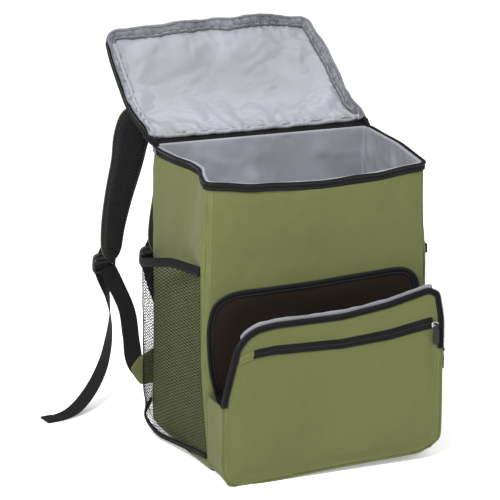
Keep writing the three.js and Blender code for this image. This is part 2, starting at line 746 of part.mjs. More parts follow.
// The net pocket: its swell away from the side wall, from the front seam to the back seam.
const netSwell = [
  { along: 0, out: 0.0, foot: 0.0 },
  { along: 0.17, out: 0.3, foot: 0.05 },
  { along: 0.33, out: 0.6, foot: 0.1 },
  { along: 0.55, out: 0.93, foot: 0.25 },
  { along: 0.72, out: 1.0, foot: 0.5 },
  { along: 0.86, out: 0.78, foot: 0.7 },
  { along: 1, out: 0.0, foot: 0.0 },
];
const netEdges = [
  { along: 0, low: 1.0, high: 1.0 },
  { along: 0.33, low: 0.7, high: 0.985 },
  { along: 0.6, low: 0.5, high: 0.935 },
  { along: 0.72, low: 0.55, high: 0.91 },
  { along: 0.86, low: 1.2, high: 0.89 },
  { along: 1, low: 1.6, high: 0.87 },
];
const netFlatShare = 0.45;
const netFootShare = 0.25;

function netPoint(sign, u, v, depth) {
  const reach = halfDepth - cornerRadius;
  const y = mix(-reach - netSeamReach, reach + netSeamReach, u);
  const low = netBottom * lookUp(netEdges, "along", "low", u);
  const high = netTop * lookUp(netEdges, "along", "high", u);
  const z = mix(low, high, v);
  const full = sign < 0 ? netBulge : netBulge * netFlatShare;
  const foot = lookUp(netSwell, "along", "foot", u);
  const lift = full * mix(foot, lookUp(netSwell, "along", "out", u), smooth(0, netFootShare, v));
  const point = soften(sign * halfWidth, y, z);
  return point.add(new THREE.Vector3(sign * (lift + depth + netStand + seamGap), 0, 0));
}

function addNetPocket(sign) {
  const name = sign < 0 ? "left" : "right";
  const place = (u, v, side) => netPoint(sign, u, v, side ? netWall : 0);
  add(`mesh_net_${name}`, blackWeb, net(place, netColumns, netRows, netHoleShare));
  const tall = netTop - netBottom;
  const gap = (2 * seamGap) / tall;
  const ends = { top: [1 + gap, 1 + gap + netBindingHeight / tall], bottom: [-gap - netHemHeight / tall, -gap] };
  for (const [edge, rows] of Object.entries(ends)) {
    const grid = (depth) => rows.map((v) => steps(netColumns).map((u) => netPoint(sign, u, v, depth)));
    add(`mesh_${edge}_binding_${name}`, blackWeb, slab(grid(netBindingWall), grid(0)));
  }
}

// A flat band along a run of points; turn is the angle of its width from X about Z, and up
// how far the width stands upright.
function band(run, widthOf, low, high, across, crown) {
  const curve = new THREE.CatmullRomCurve3(run.map((p) => new THREE.Vector3(p.x, p.y, p.z)), false, "centripetal");
  const grid = (side) => steps((run.length - 1) * 2).map((t) => {
    const place = curve.getPoint(t);
    const ahead = curve.getTangent(t);
    const row = t * (run.length - 1);
    const read = (key) => mix(run[Math.floor(row)][key] ?? 0, run[Math.ceil(row)][key] ?? 0, row % 1);
    const turn = (read("turn") * Math.PI) / 180;
    const up = read("up");
    const width = new THREE.Vector3(Math.cos(turn) * (1 - up), Math.sin(turn) * (1 - up), up);
    width.addScaledVector(ahead, -width.dot(ahead)).normalize();
    const normal = width.clone().cross(ahead).normalize();
    return across.map((k) => {
      const lift = side - Math.sign(side - (low + high) / 2) * crown * Math.abs(k) ** 3;
      return place.clone().addScaledVector(width, (k * widthOf(t)) / 2).addScaledVector(normal, lift);
    });
  });
  return slab(grid(high), grid(low));
}

// The run of each shoulder strap behind the back wall, as shares of the half width, the depth and
// the rim's height.
const strapRuns = {
  left: [
    { x: -0.267, y: 0.017, z: 0.823, turn: 0 },
    { x: -0.28, y: 0.024, z: 0.897, turn: 0 },
    { x: -0.36, y: 0.136, z: 0.971, turn: -4 },
    { x: -0.533, y: 0.32, z: 1.005, turn: -8 },
    { x: -0.693, y: 0.476, z: 1.037, turn: -8 },
    { x: -0.813, y: 0.587, z: 1.018, turn: -6 },
    { x: -0.893, y: 0.621, z: 0.945, turn: 0 },
    { x: -0.947, y: 0.602, z: 0.858, turn: 4 },
    { x: -1.053, y: 0.553, z: 0.739, turn: 6 },
    { x: -1.133, y: 0.51, z: 0.62, turn: 8 },
    { x: -1.16, y: 0.485, z: 0.517, turn: 8 },
  ],
  right: [
    { x: 0.267, y: 0.017, z: 0.823, turn: 0 },
    { x: 0.247, y: 0.024, z: 0.897, turn: 0 },
    { x: 0.147, y: 0.136, z: 0.971, turn: -4 },
    { x: -0.04, y: 0.32, z: 1.005, turn: -8 },
    { x: -0.213, y: 0.476, z: 1.037, turn: -8 },
    { x: -0.36, y: 0.587, z: 1.018, turn: -6 },
    { x: -0.453, y: 0.621, z: 0.945, turn: 0 },
    { x: -0.52, y: 0.602, z: 0.858, turn: 4 },
    { x: -0.627, y: 0.553, z: 0.739, turn: 6 },
    { x: -0.733, y: 0.51, z: 0.62, turn: 8 },
    { x: -0.773, y: 0.485, z: 0.528, turn: 8 },
  ],
};
const strapWidths = [
  { along: 0, width: 0.89 },
  { along: 0.25, width: 1 },
  { along: 0.55, width: 0.96 },
  { along: 0.8, width: 0.71 },
  { along: 0.94, width: 0.5 },
  { along: 1, width: 0.25 },
];
const strapAcross = [-1, -0.6, 0.6, 1];

// Each webbing runs from its tab up to the buckle, and its tail from the buckle down.
const webbingRuns = {
  left: [
    { x: -1.147, y: 0.018, z: 0.222, turn: 4 },
    { x: -1.133, y: 0.136, z: 0.285, turn: 24 },
    { x: -1.1, y: 0.301, z: 0.364, turn: 18 },
    { x: -1.147, y: 0.437, z: 0.443, turn: 10 },
    { x: -1.193, y: 0.496, z: 0.493, turn: 10 },
  ],
  right: [
    { x: 1.147, y: 0.018, z: 0.216, turn: 0, up: 0.9 },
    { x: 0.967, y: 0.024, z: 0.227, turn: 0, up: 0.9 },
    { x: 0.4, y: 0.117, z: 0.269, turn: 0, up: 0.85 },
    { x: -0.2, y: 0.282, z: 0.338, turn: 0, up: 0.7 },
    { x: -0.633, y: 0.427, z: 0.422, turn: 4, up: 0.3 },
    { x: -0.807, y: 0.489, z: 0.499, turn: 10, up: 0 },
  ],
};
const tailRuns = {
  left: [
    { x: -1.22, y: 0.541, z: 0.507, turn: 10 },
    { x: -1.213, y: 0.541, z: 0.464, turn: 22 },
    { x: -1.187, y: 0.519, z: 0.391, turn: 60 },
    { x: -1.173, y: 0.495, z: 0.311, turn: 78 },
    { x: -1.207, y: 0.471, z: 0.222, turn: 94 },
    { x: -1.287, y: 0.432, z: 0.137, turn: 104 },
    { x: -1.427, y: 0.374, z: 0.063, turn: 112 },
    { x: -1.6, y: 0.311, z: 0.016, turn: 116 },
    { x: -1.747, y: 0.272, z: 0.004, turn: 112 },
    { x: -1.893, y: 0.252, z: 0.003, turn: 108 },
  ],
  right: [
    { x: -0.84, y: 0.538, z: 0.515, turn: 10 },
    { x: -0.853, y: 0.537, z: 0.409, turn: 14 },
    { x: -0.873, y: 0.505, z: 0.274, turn: 20 },
  ],
};
const buckles = {
  left: { x: -1.213, y: 0.521, z: 0.509, turn: 10, lean: -8 },
  right: { x: -0.827, y: 0.521, z: 0.517, turn: 10, lean: -8 },
};
const tabShape = [
  { x: 0.907, z: 0.148 },
  { x: 0.907, z: 0.285 },
  { x: 1.125, z: 0.243 },
  { x: 1.21, z: 0.201 },
  { x: 1.11, z: 0.142 },
];

// A row of shares as a place behind the back wall.
function behind(p) {
  return { ...p, x: p.x * halfWidth, y: halfDepth + p.y * bodyDepth, z: p.z * rimHeight };
}

function addStrap(name) {
  const run = strapRuns[name].map(behind);
  const width = (t) => strapWidest * lookUp(strapWidths, "along", "width", t);
  add(`strap_outer_${name}`, olive, band(run, width, seamGap / 2, strapCloth, strapAcross, strapCrown));
  add(`strap_mesh_${name}`, airMesh, band(run, (t) => width(t) - strapMeshInset, -strapFoam, -seamGap / 2, strapAcross, strapCrown));
}

function addWebbing(name) {
  const half = webbingWall / 2;
  const width = () => webbingWidth;
  add(`strap_webbing_${name}`, blackWeb, band(webbingRuns[name].map(behind), width, -half, half, [-1, 1], 0));
  add(`strap_tail_${name}`, blackWeb, band(tailRuns[name].map(behind), width, -half, half, [-1, 1], 0));
}

// The ladder buckle: a rounded frame with a slot on each side of its middle bar.
function addBuckle(name) {
  const [w, h, r, q] = [buckleWidth / 2, buckleHeight / 2, buckleRail, buckleRound];
  const corners = [[1, 1], [-1, 1], [-1, -1], [1, -1]];
  const frame = new THREE.Shape(corners.flatMap(([sx, sz], i) => steps(3).map((t) => {
    const turn = ((i + t) * Math.PI) / 2;
    return new THREE.Vector2(sx * (w - q) + q * Math.cos(turn), sz * (h - q) + q * Math.sin(turn));
  })));
  for (const end of [-1, 1]) {
    const [low, high] = [end * (h - r), (end * r) / 2].sort((a, b) => a - b);
    const slot = new THREE.Path();
    slot.moveTo(-w + r, low);
    slot.lineTo(-w + r, high);
    slot.lineTo(w - r, high);
    slot.lineTo(w - r, low);
    frame.holes.push(slot);
  }
  const solid = new THREE.ExtrudeGeometry(frame, { depth: buckleWall, bevelEnabled: false });
  solid.translate(0, 0, -buckleWall / 2).rotateX(Math.PI / 2);
  const place = behind(buckles[name]);
  const mesh = add(`strap_buckle_${name}`, greyPlastic, solid);
  mesh.position.set(place.x, place.y, place.z);
  mesh.rotation.set((place.lean * Math.PI) / 180, 0, (place.turn * Math.PI) / 180);
}

function addTab(name, sign) {
  const shape = new THREE.Shape(tabShape.map((p) => new THREE.Vector2(sign * p.x * halfWidth, p.z * rimHeight)));
  const solid = new THREE.ExtrudeGeometry(shape, { depth: tabWall, bevelEnabled: false });
  solid.rotateX(Math.PI / 2).translate(0, halfDepth + tabWall + seamGap, 0);
  add(`strap_tab_${name}`, olive, solid);
}

for (const build of [addBody, addLining, addRim, addHinge, addLid, addPocketPanel, addGusset, addBodyZip,
  addSlipZip, addSliders]) build();
for (const sign of [-1, 1]) addNetPocket(sign);
for (const [name, sign] of [["left", -1], ["right", 1]]) {
  addStrap(name);
  addWebbing(name);
  addBuckle(name);
  addTab(name, sign);
}

export default group;
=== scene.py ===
"""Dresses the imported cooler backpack: padded panels, foil lining, net pockets, zips and straps."""

import logging
import math
from dataclasses import dataclass, field
from enum import Enum
from typing import Callable, Sequence

import bpy
import numpy as np
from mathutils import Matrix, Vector


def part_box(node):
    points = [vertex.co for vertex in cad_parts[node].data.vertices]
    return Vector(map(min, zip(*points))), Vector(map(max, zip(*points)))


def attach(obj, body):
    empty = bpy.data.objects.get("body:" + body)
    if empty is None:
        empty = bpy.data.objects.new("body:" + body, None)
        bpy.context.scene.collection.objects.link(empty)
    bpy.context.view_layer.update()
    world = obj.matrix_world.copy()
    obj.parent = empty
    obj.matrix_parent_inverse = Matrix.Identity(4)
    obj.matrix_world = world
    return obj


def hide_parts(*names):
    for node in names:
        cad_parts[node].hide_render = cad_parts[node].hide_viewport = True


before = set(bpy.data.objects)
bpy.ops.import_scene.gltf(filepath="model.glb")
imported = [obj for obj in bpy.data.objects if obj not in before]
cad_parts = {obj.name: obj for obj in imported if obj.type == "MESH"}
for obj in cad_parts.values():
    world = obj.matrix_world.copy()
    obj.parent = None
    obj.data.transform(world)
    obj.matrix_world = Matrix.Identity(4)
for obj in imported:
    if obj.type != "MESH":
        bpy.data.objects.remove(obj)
log = logging.getLogger("cooler_backpack")

MM = 0.001
BAG = "bag"


def smooth(low: float, high: float, value: np.ndarray) -> np.ndarray:
    """Rises softly from 0 at low to 1 at high.

    Args:
        low: where the rise starts.
        high: where it ends.
        value: where it is read.

    Returns:
        The share at each value.
    """
    t = np.clip((np.asarray(value, float) - low) / (high - low), 0, 1)
    return t * t * (3 - 2 * t)


def mix(a: np.ndarray, b: np.ndarray, t: np.ndarray) -> np.ndarray:
    """Goes from a to b as t goes from 0 to 1."""
    return a + (b - a) * t


def unit(vectors: np.ndarray) -> np.ndarray:
    """Scales each vector of an array to length 1."""
    length = np.linalg.norm(vectors, axis=-1, keepdims=True)
    return vectors / np.maximum(length, 1e-9)


def point(x: np.ndarray, y: np.ndarray, z: np.ndarray) -> np.ndarray:
    """Stacks three arrays, or numbers, into one array of points."""
    return np.stack(np.broadcast_arrays(*(np.asarray(v, float) for v in (x, y, z))), axis=-1)


@dataclass(frozen=True)
class Table:
    """A short table of given values, read smoothly between its rows.

    Args:
        at: the places of the rows, rising.
        value: the value at each row.
        ease: how far a corner of the table is rounded off.
    """

    at: tuple[float, ...]
    value: tuple[float, ...]
    ease: float = 0.03

    def __call__(self, where: np.ndarray) -> np.ndarray:
        """Reads the table at one or more places."""
        where = np.clip(np.asarray(where, float), self.at[0], self.at[-1])
        reach = np.minimum(self.ease, np.minimum(where - self.at[0], self.at[-1] - where))
        middle = np.interp(where, self.at, self.value)
        before = np.interp(where - reach, self.at, self.value)
        after = np.interp(where + reach, self.at, self.value)
        return (before + 2 * middle + after) / 4


@dataclass(frozen=True)
class Ripple:
    """Soft irregular waves over cloth, the same on every run.

    Args:
        seed: picks the waves.
        length: their usual wavelength in millimetres.
        count: how many waves add up.
    """

    seed: int
    length: float
    count: int = 12

    def __call__(self, u: np.ndarray, v: np.ndarray) -> np.ndarray:
        """Reads the height, mostly between -1 and 1, at places in millimetres."""
        draw = np.random.default_rng(self.seed)
        turn = draw.uniform(0, 2 * math.pi, self.count)
        pace = 2 * math.pi / (self.length * draw.uniform(0.6, 1.6, self.count))
        phase = draw.uniform(0, 2 * math.pi, self.count)
        total = np.zeros(np.broadcast(u, v).shape)
        for t, k, p in zip(turn, pace, phase):
            total += np.cos(k * (np.cos(t) * u + np.sin(t) * v) + p)
        return total * 1.4 / self.count**0.5 / 1.5


@dataclass(frozen=True)
class Creases:
    """Soft straight creases pressed into cloth, the same on every run.

    Args:
        seed: picks them.
        count: how many there are.
        reach: the half width and half height of the area that they lie in, in millimetres.
        lean: their usual direction in degrees, and how much it varies.
        length: the shortest and longest of them in millimetres.
        width: the narrowest and widest of them in millimetres.
    """

    seed: int
    count: int
    reach: tuple[float, float]
    lean: tuple[float, float]
    length: tuple[float, float] = (50.0, 130.0)
    width: tuple[float, float] = (3.0, 8.0)

    def __call__(self, u: np.ndarray, v: np.ndarray) -> np.ndarray:
        """Reads the height, mostly between -1 and 1, at places in millimetres from the middle."""
        draw = np.random.default_rng(self.seed)
        total = np.zeros(np.broadcast(u, v).shape)
        for number in range(self.count):
            cu, cv = draw.uniform(-1, 1, 2) * self.reach
            turn = math.radians(draw.normal(*self.lean))
            half, wide = draw.uniform(*self.length) / 2, draw.uniform(*self.width)
            along = (u - cu) * math.cos(turn) + (v - cv) * math.sin(turn)
            bow = along**2 / half * draw.uniform(-0.25, 0.25)
            off = ((v - cv) * math.cos(turn) - (u - cu) * math.sin(turn) - bow) / wide
            fade = np.clip(1 - (along / half) ** 2, 0, 1) ** 1.5
            tilt = np.exp(-(off**2)) - 0.55 * np.exp(-((off - 1.6) ** 2) / 2)
            total += tilt * fade * draw.uniform(0.4, 1.0) * (1 if number % 3 else -1)
        return total


def spline(points: np.ndarray, count: int) -> np.ndarray:
    """Draws a smooth curve through points.

    Args:
        points: what it goes through, one row each.
        count: how many samples it gets.

    Returns:
        The samples, evenly spread over the spans between the points.
    """
    p = np.vstack([2 * points[0] - points[1], points, 2 * points[-1] - points[-2]])
    t = np.linspace(0, len(points) - 1, count)
    i = np.minimum(t.astype(int), len(points) - 2)
    w = (t - i)[:, None]
    p0, p1, p2, p3 = p[i], p[i + 1], p[i + 2], p[i + 3]
    d0, d1, d2 = (
        np.sqrt(np.linalg.norm(b - a, axis=1, keepdims=True) + 1e-9)
        for a, b in ((p0, p1), (p1, p2), (p2, p3))
    )
    m1 = ((p1 - p0) / d0 - (p2 - p0) / (d0 + d1) + (p2 - p1) / d1) * d1
    m2 = ((p2 - p1) / d1 - (p3 - p1) / (d1 + d2) + (p3 - p2) / d2) * d1
    return (
        p1 * (2 * w**3 - 3 * w**2 + 1)
        + m1 * (w**3 - 2 * w**2 + w)
        + p2 * (3 * w**2 - 2 * w**3)
        + m2 * (w**3 - w**2)
    )


def relax(path: np.ndarray, rounds: int) -> np.ndarray:
    """Rounds off a run of points, whose two ends stay."""
    path = path.copy()
    for _ in range(rounds):
        path[1:-1] = (path[:-2] + 2 * path[1:-1] + path[2:]) / 4
    return path


def lengths(path: np.ndarray) -> np.ndarray:
    """Measures how far along a run of points each of them lies."""
    gaps = np.linalg.norm(np.diff(path, axis=0), axis=1)
    return np.concatenate([[0], np.cumsum(gaps)])


def even(pitch: float, *paths: np.ndarray) -> list[np.ndarray]:
    """Takes samples at an even pitch along the first path, and the same shares of the others.

    Args:
        pitch: the distance between samples in millimetres.
        paths: arrays with the same number of rows.

    Returns:
        One array for each path.
    """
    run = lengths(paths[0])
    places = np.linspace(0, run[-1], max(2, round(run[-1] / pitch) + 1))
    return [
        np.stack([np.interp(places, run, path[:, k]) for k in range(path.shape[1])], axis=1)
        for path in paths
    ]


class Value:
    """A socket of a material whose arithmetic adds Math nodes."""

    def __init__(self, tree: "Tree", socket: bpy.types.NodeSocket | None) -> None:
        """Wraps a socket of a tree."""
        self.tree = tree
        self.socket = socket

    def _math(self, operation: str, first: "Value | float", second: "Value | float" = 0.0) -> "Value":
        """Adds one Math node."""
        return self.tree.node("ShaderNodeMath", {"operation": operation}, {0: first, 1: second})

    def __add__(self, other: "Value | float") -> "Value":
        """Adds."""
        return self._math("ADD", self, other)

    def __radd__(self, other: "Value | float") -> "Value":
        """Adds, with the number first."""
        return self._math("ADD", other, self)

    def __sub__(self, other: "Value | float") -> "Value":
        """Subtracts."""
        return self._math("SUBTRACT", self, other)

    def __rsub__(self, other: "Value | float") -> "Value":
        """Subtracts from a number."""
        return self._math("SUBTRACT", other, self)

    def __mul__(self, other: "Value | float") -> "Value":
        """Multiplies."""
        return self._math("MULTIPLY", self, other)

    def __rmul__(self, other: "Value | float") -> "Value":
        """Multiplies, with the number first."""
        return self._math("MULTIPLY", other, self)

    def sine(self) -> "Value":
        """Takes the sine."""
        return self._math("SINE", self)

    def size(self) -> "Value":
        """Takes the value without its sign."""
        return self._math("ABSOLUTE", self)

    def over(self, low: float, high: float) -> "Value":
        """Rises softly from 0 at low to 1 at high."""
        return self.tree.node(
            "ShaderNodeMapRange", {"interpolation_type": "SMOOTHSTEP"}, {0: self, 1: low, 2: high, 3: 0.0, 4: 1.0}
        )


class Tree:
    """A material while its nodes are being laid out."""

    def __init__(self, name: str) -> None:
        """Starts an empty material."""
        self.material = bpy.data.materials.new(name)
        self.material.use_nodes = True
        self.nodes = self.material.node_tree.nodes
        self.links = self.material.node_tree.links
        self.nodes.clear()

    def node(self, kind: str, settings: dict, sockets: dict, output: int = 0) -> Value:
        """Adds one node.

        Args:
            kind: the node's type.
            settings: its own settings.
            sockets: the value or link of each input, by name or number.
            output: which output is handed back.

        Returns:
            That output.
        """
        made = self.nodes.new(kind)
        for key, value in settings.items():
            setattr(made, key, value)
        for key, value in sockets.items():
            if isinstance(value, Value):
                self.links.new(value.socket, made.inputs[key])
            else:
                made.inputs[key].default_value = value
        return Value(self, made.outputs[output] if made.outputs else None)

    def cloth(self) -> Value:
        """Reads a piece's own cloth coordinates, in metres along and across its weave."""
        return self.node("ShaderNodeAttribute", {"attribute_name": "cloth"}, {}, 1)

    def worn(self) -> Value:
        """Reads how near a place is to a seam or an edge, from 0 to 1."""
        return self.node("ShaderNodeAttribute", {"attribute_name": "worn"}, {}, 2)

    def place(self) -> Value:
        """Reads the place on the object, in metres."""
        return self.node("ShaderNodeTexCoord", {}, {}, 3)

    def part(self, vector: Value, which: int) -> Value:
        """Takes one coordinate of a vector."""
        return self.node("ShaderNodeSeparateXYZ", {}, {0: vector}, which)

    def stretched(self, vector: Value, scale: tuple[float, float, float]) -> Value:
        """Scales a vector along its axes."""
        return self.node("ShaderNodeVectorMath", {"operation": "MULTIPLY"}, {0: vector, 1: scale})

    def grain(self, vector: Value, scale: float, detail: float = 3.0) -> Value:
        """Adds a Noise node, from 0 to 1."""
        return self.node("ShaderNodeTexNoise", {}, {"Vector": vector, "Scale": scale, "Detail": detail})

    def blend(self, share: Value, low: tuple, high: tuple) -> Value:
        """Goes from one colour to another."""
        return self.node("ShaderNodeMix", {"data_type": "RGBA"}, {0: share, 6: low, 7: high}, 2)

    def relief(self, height: Value, depth: float, strength: float, under: Value | None = None) -> Value:
        """Adds a Bump node of a depth in millimetres."""
        sockets = {"Height": height, "Distance": depth * MM, "Strength": strength}
        return self.node("ShaderNodeBump", {}, sockets | ({"Normal": under} if under else {}))

    def done(self, sockets: dict) -> bpy.types.Material:
        """Ends the material in a Principled shader with these sockets."""
        shader = self.node("ShaderNodeBsdfPrincipled", {}, sockets)
        self.node("ShaderNodeOutputMaterial", {}, {0: shader})
        return self.material


def colour(code: str, gain: float = 1.0) -> tuple[float, float, float, float]:
    """Turns a hex colour into the linear one that a shader takes.

    Args:
        code: six hex digits.
        gain: makes it lighter or darker.

    Returns:
        Red, green, blue and 1.
    """
    parts = [int(code[i : i + 2], 16) / 255 for i in (0, 2, 4)]
    linear = [c / 12.92 if c <= 0.04045 else ((c + 0.055) / 1.055) ** 2.4 for c in parts]
    return (*(min(1.0, c * gain) for c in linear), 1.0)


@dataclass(frozen=True)
class WovenCloth:
    """Plain woven polyester with a slightly uneven dye and paler, rubbed edges.

    Args:
        name: the material's name.
        base: its colour as six hex digits.
        thread: the pitch of its weave in millimetres.
        sheen: how much it lights up at a grazing angle.
        rub: how much paler its worn edges are.
    """

    name: str
    base: str
    thread: float = 0.9
    sheen: float = 0.05
    rub: float = 0.3

    def build(self) -> bpy.types.Material:
        """Lays out the nodes."""
        tree = Tree(self.name)
        cloth = tree.cloth()
        turns = 2 * math.pi / (self.thread * MM)
        warp = (tree.part(cloth, 0) * turns).sine()
        weft = (tree.part(cloth, 1) * turns).sine()
        weave = warp * weft * 0.5 + 0.5
        slubs = tree.grain(tree.stretched(cloth, (900, 45, 1)), 1.0) + tree.grain(
            tree.stretched(cloth, (45, 900, 1)), 1.0
        )
        dye = tree.grain(tree.place(), 5.0, 2.0)
        tone = (slubs * 0.14 + dye * 0.3 + weave * 0.14).over(0.1, 0.62)
        body = tree.blend(tone, colour(self.base, 0.8), colour(self.base, 1.2))
        fray = tree.worn() * tree.grain(tree.place(), 60.0, 2.0).over(0.3, 0.7) * self.rub
        shade = tree.node("ShaderNodeMix", {"data_type": "RGBA"}, {0: fray, 6: body, 7: colour(self.base, 1.7)}, 2)
        puckers = tree.relief(tree.grain(tree.stretched(cloth, (1, 1, 1)), 55.0, 3.0), 1.0, 0.28)
        return tree.done(
            {
                "Base Color": shade,
                "Roughness": tree.grain(tree.place(), 40.0) * 0.14 + 0.78,
                "Normal": tree.relief(weave * 0.7 + slubs * 0.3, 0.25, 0.5, puckers),
                "Specular IOR Level": 0.08,
                "Sheen Weight": self.sheen,
                "Sheen Roughness": 0.5,
            }
        )


@dataclass(frozen=True)
class FoilLining:
    """Wipe-clean grey lining film: smooth, faintly blue, with fine crinkles.

    Args:
        name: the material's name.
        base: its colour as six hex digits.
        tint: the colour that it drifts to.
        gloss: its roughness where it is smoothest.
        crinkle: how strong the fine crinkles are.
    """

    name: str
    base: str
    tint: str
    gloss: float = 0.36
    crinkle: float = 0.3

    def build(self) -> bpy.types.Material:
        """Lays out the nodes."""
        tree = Tree(self.name)
        cloth = tree.cloth()
        drift = tree.grain(tree.place(), 11.0, 3.0)
        weave = (tree.part(cloth, 0) * (2 * math.pi / 0.0016)).sine() * (
            tree.part(cloth, 1) * (2 * math.pi / 0.0016)
        ).sine()
        scuffs = tree.grain(tree.stretched(cloth, (1, 2.2, 1)), 120.0, 4.0)
        body = tree.blend(drift.over(0.35, 0.7), colour(self.base), colour(self.tint))
        edge = tree.worn() * scuffs
        sockets = {0: edge * 0.5, 6: body, 7: colour(self.base, 0.6)}
        shade = tree.node("ShaderNodeMix", {"data_type": "RGBA"}, sockets, 2)
        crinkles = tree.relief(tree.grain(tree.place(), 34.0, 5.0), 2.0, self.crinkle)
        return tree.done(
            {
                "Base Color": shade,
                "Roughness": scuffs * 0.25 + self.gloss,
                "Normal": tree.relief(weave * 0.5 + scuffs, 0.12, 0.35, crinkles),
                "Specular IOR Level": 0.55,
            }
        )


@dataclass(frozen=True)
class RibbedTape:
    """Woven tape or webbing with ribs along and across it.

    Args:
        name: the material's name.
        base: its colour as six hex digits.
        rib: the pitch of its ribs along the run in millimetres.
        wale: the pitch of its ribs across the run in millimetres.
        slant: how far the ribs lean, which makes a twill.
    """

    name: str
    base: str
    rib: float = 1.3
    wale: float = 2.2
    slant: float = 0.0

    def build(self) -> bpy.types.Material:
        """Lays out the nodes."""
        tree = Tree(self.name)
        cloth = tree.cloth()
        along, across = tree.part(cloth, 0), tree.part(cloth, 1)
        lean = across.size() * self.slant
        ribs = ((along + lean) * (2 * math.pi / (self.rib * MM))).sine() * 0.5 + 0.5
        wales = (across * (2 * math.pi / (self.wale * MM))).sine() * 0.5 + 0.5
        fuzz = tree.grain(tree.stretched(cloth, (700, 1800, 1)), 1.0, 2.0)
        tone = (ribs * 0.4 + wales * 0.25 + fuzz * 0.5 + tree.grain(tree.place(), 25.0) * 0.3).over(0.4, 1.1)
        body = tree.blend(tone, colour(self.base, 0.55), colour(self.base, 1.75))
        return tree.done(
            {
                "Base Color": body,
                "Roughness": fuzz * 0.2 + 0.62,
                "Normal": tree.relief(ribs * 0.7 + wales * 0.5 + fuzz * 0.2, 0.4, 0.7),
                "Specular IOR Level": 0.1,
            }
        )


@dataclass(frozen=True)
class SpacerMesh:
    """Black air mesh: a knit face with rows of small oval holes over foam, the holes painted darker as the shade inside
    them.

    Args:
        name: the material's name.
        base: its colour as six hex digits.
        pitch: the distance between holes in millimetres.
    """

    name: str
    base: str
    pitch: float = 4.6

    def build(self) -> bpy.types.Material:
        """Lays out the nodes."""
        tree = Tree(self.name)
        cloth = tree.cloth()
        turns = math.pi / (self.pitch * MM)
        rise = (tree.part(cloth, 0) * turns * 1.15).sine()
        fall = (tree.part(cloth, 1) * turns * 1.5).sine()
        holes = ((rise + fall) * 0.5).size() * 0.5 + ((rise - fall) * 0.5).size() * 0.5
        knit = holes.over(0.28, 0.62)
        fuzz = tree.grain(cloth, 2600.0, 2.0)
        # Holes go from the knit face's colour to a far darker one: painted shade in the recesses.
        body = tree.blend(knit * 0.85 + fuzz * 0.3, colour(self.base, 1.5), colour(self.base, 0.3))
        return tree.done(
            {
                "Base Color": body,
                "Roughness": 0.55 + fuzz * 0.25,
                "Normal": tree.relief(knit * -1.0 + fuzz * 0.12, 1.2, 0.75),
                "Specular IOR Level": 0.22,
            }
        )


class Lustre(Enum):
    """What a small hard or threaded piece is made of."""

    PLASTIC = (0.0, 0.42, 260.0, 0.25)
    METAL = (1.0, 0.26, 420.0, 0.12)
    RUBBER = (0.0, 0.6, 520.0, 0.3)
    THREAD = (0.0, 0.75, 1500.0, 0.4)
    COIL = (0.0, 0.34, 600.0, 0.2)


@dataclass(frozen=True)
class SmallPart:
    """A moulded, cast or spun finish with fine grain and rubbed, paler spots.

    Args:
        name: the material's name.
        base: its colour as six hex digits.
        lustre: what it is made of.
    """

    name: str
    base: str
    lustre: Lustre

    def build(self) -> bpy.types.Material:
        """Lays out the nodes."""
        metallic, rough, grain, depth = self.lustre.value
        tree = Tree(self.name)
        spots = tree.grain(tree.place(), grain, 3.0)
        broad = tree.grain(tree.place(), 45.0, 2.0)
        body = tree.blend((spots * 0.5 + broad * 0.5).over(0.3, 0.7), colour(self.base, 0.78), colour(self.base, 1.28))
        return tree.done(
            {
                "Base Color": body,
                "Metallic": metallic,
                "Roughness": spots * 0.18 + (rough - 0.05),
                "Normal": tree.relief(spots, depth, 0.35),
                "Specular IOR Level": 0.35,
            }
        )


@dataclass(frozen=True)
class PaleFloor:
    """A plain pale studio floor.

    Args:
        name: the material's name.
        base: its colour as six hex digits.
    """

    name: str
    base: str

    def build(self) -> bpy.types.Material:
        """Lays out the nodes."""
        tree = Tree(self.name)
        drift = tree.grain(tree.place(), 3.0, 2.0)
        body = tree.blend(drift, colour(self.base, 0.995), colour(self.base, 1.0))
        return tree.done(
            {
                "Base Color": body,
                "Roughness": drift * 0.04 + 0.7,
                "Specular IOR Level": 0.1,
                "Emission Color": (1, 1, 1, 1),
                "Emission Strength": 0.3,
            }
        )


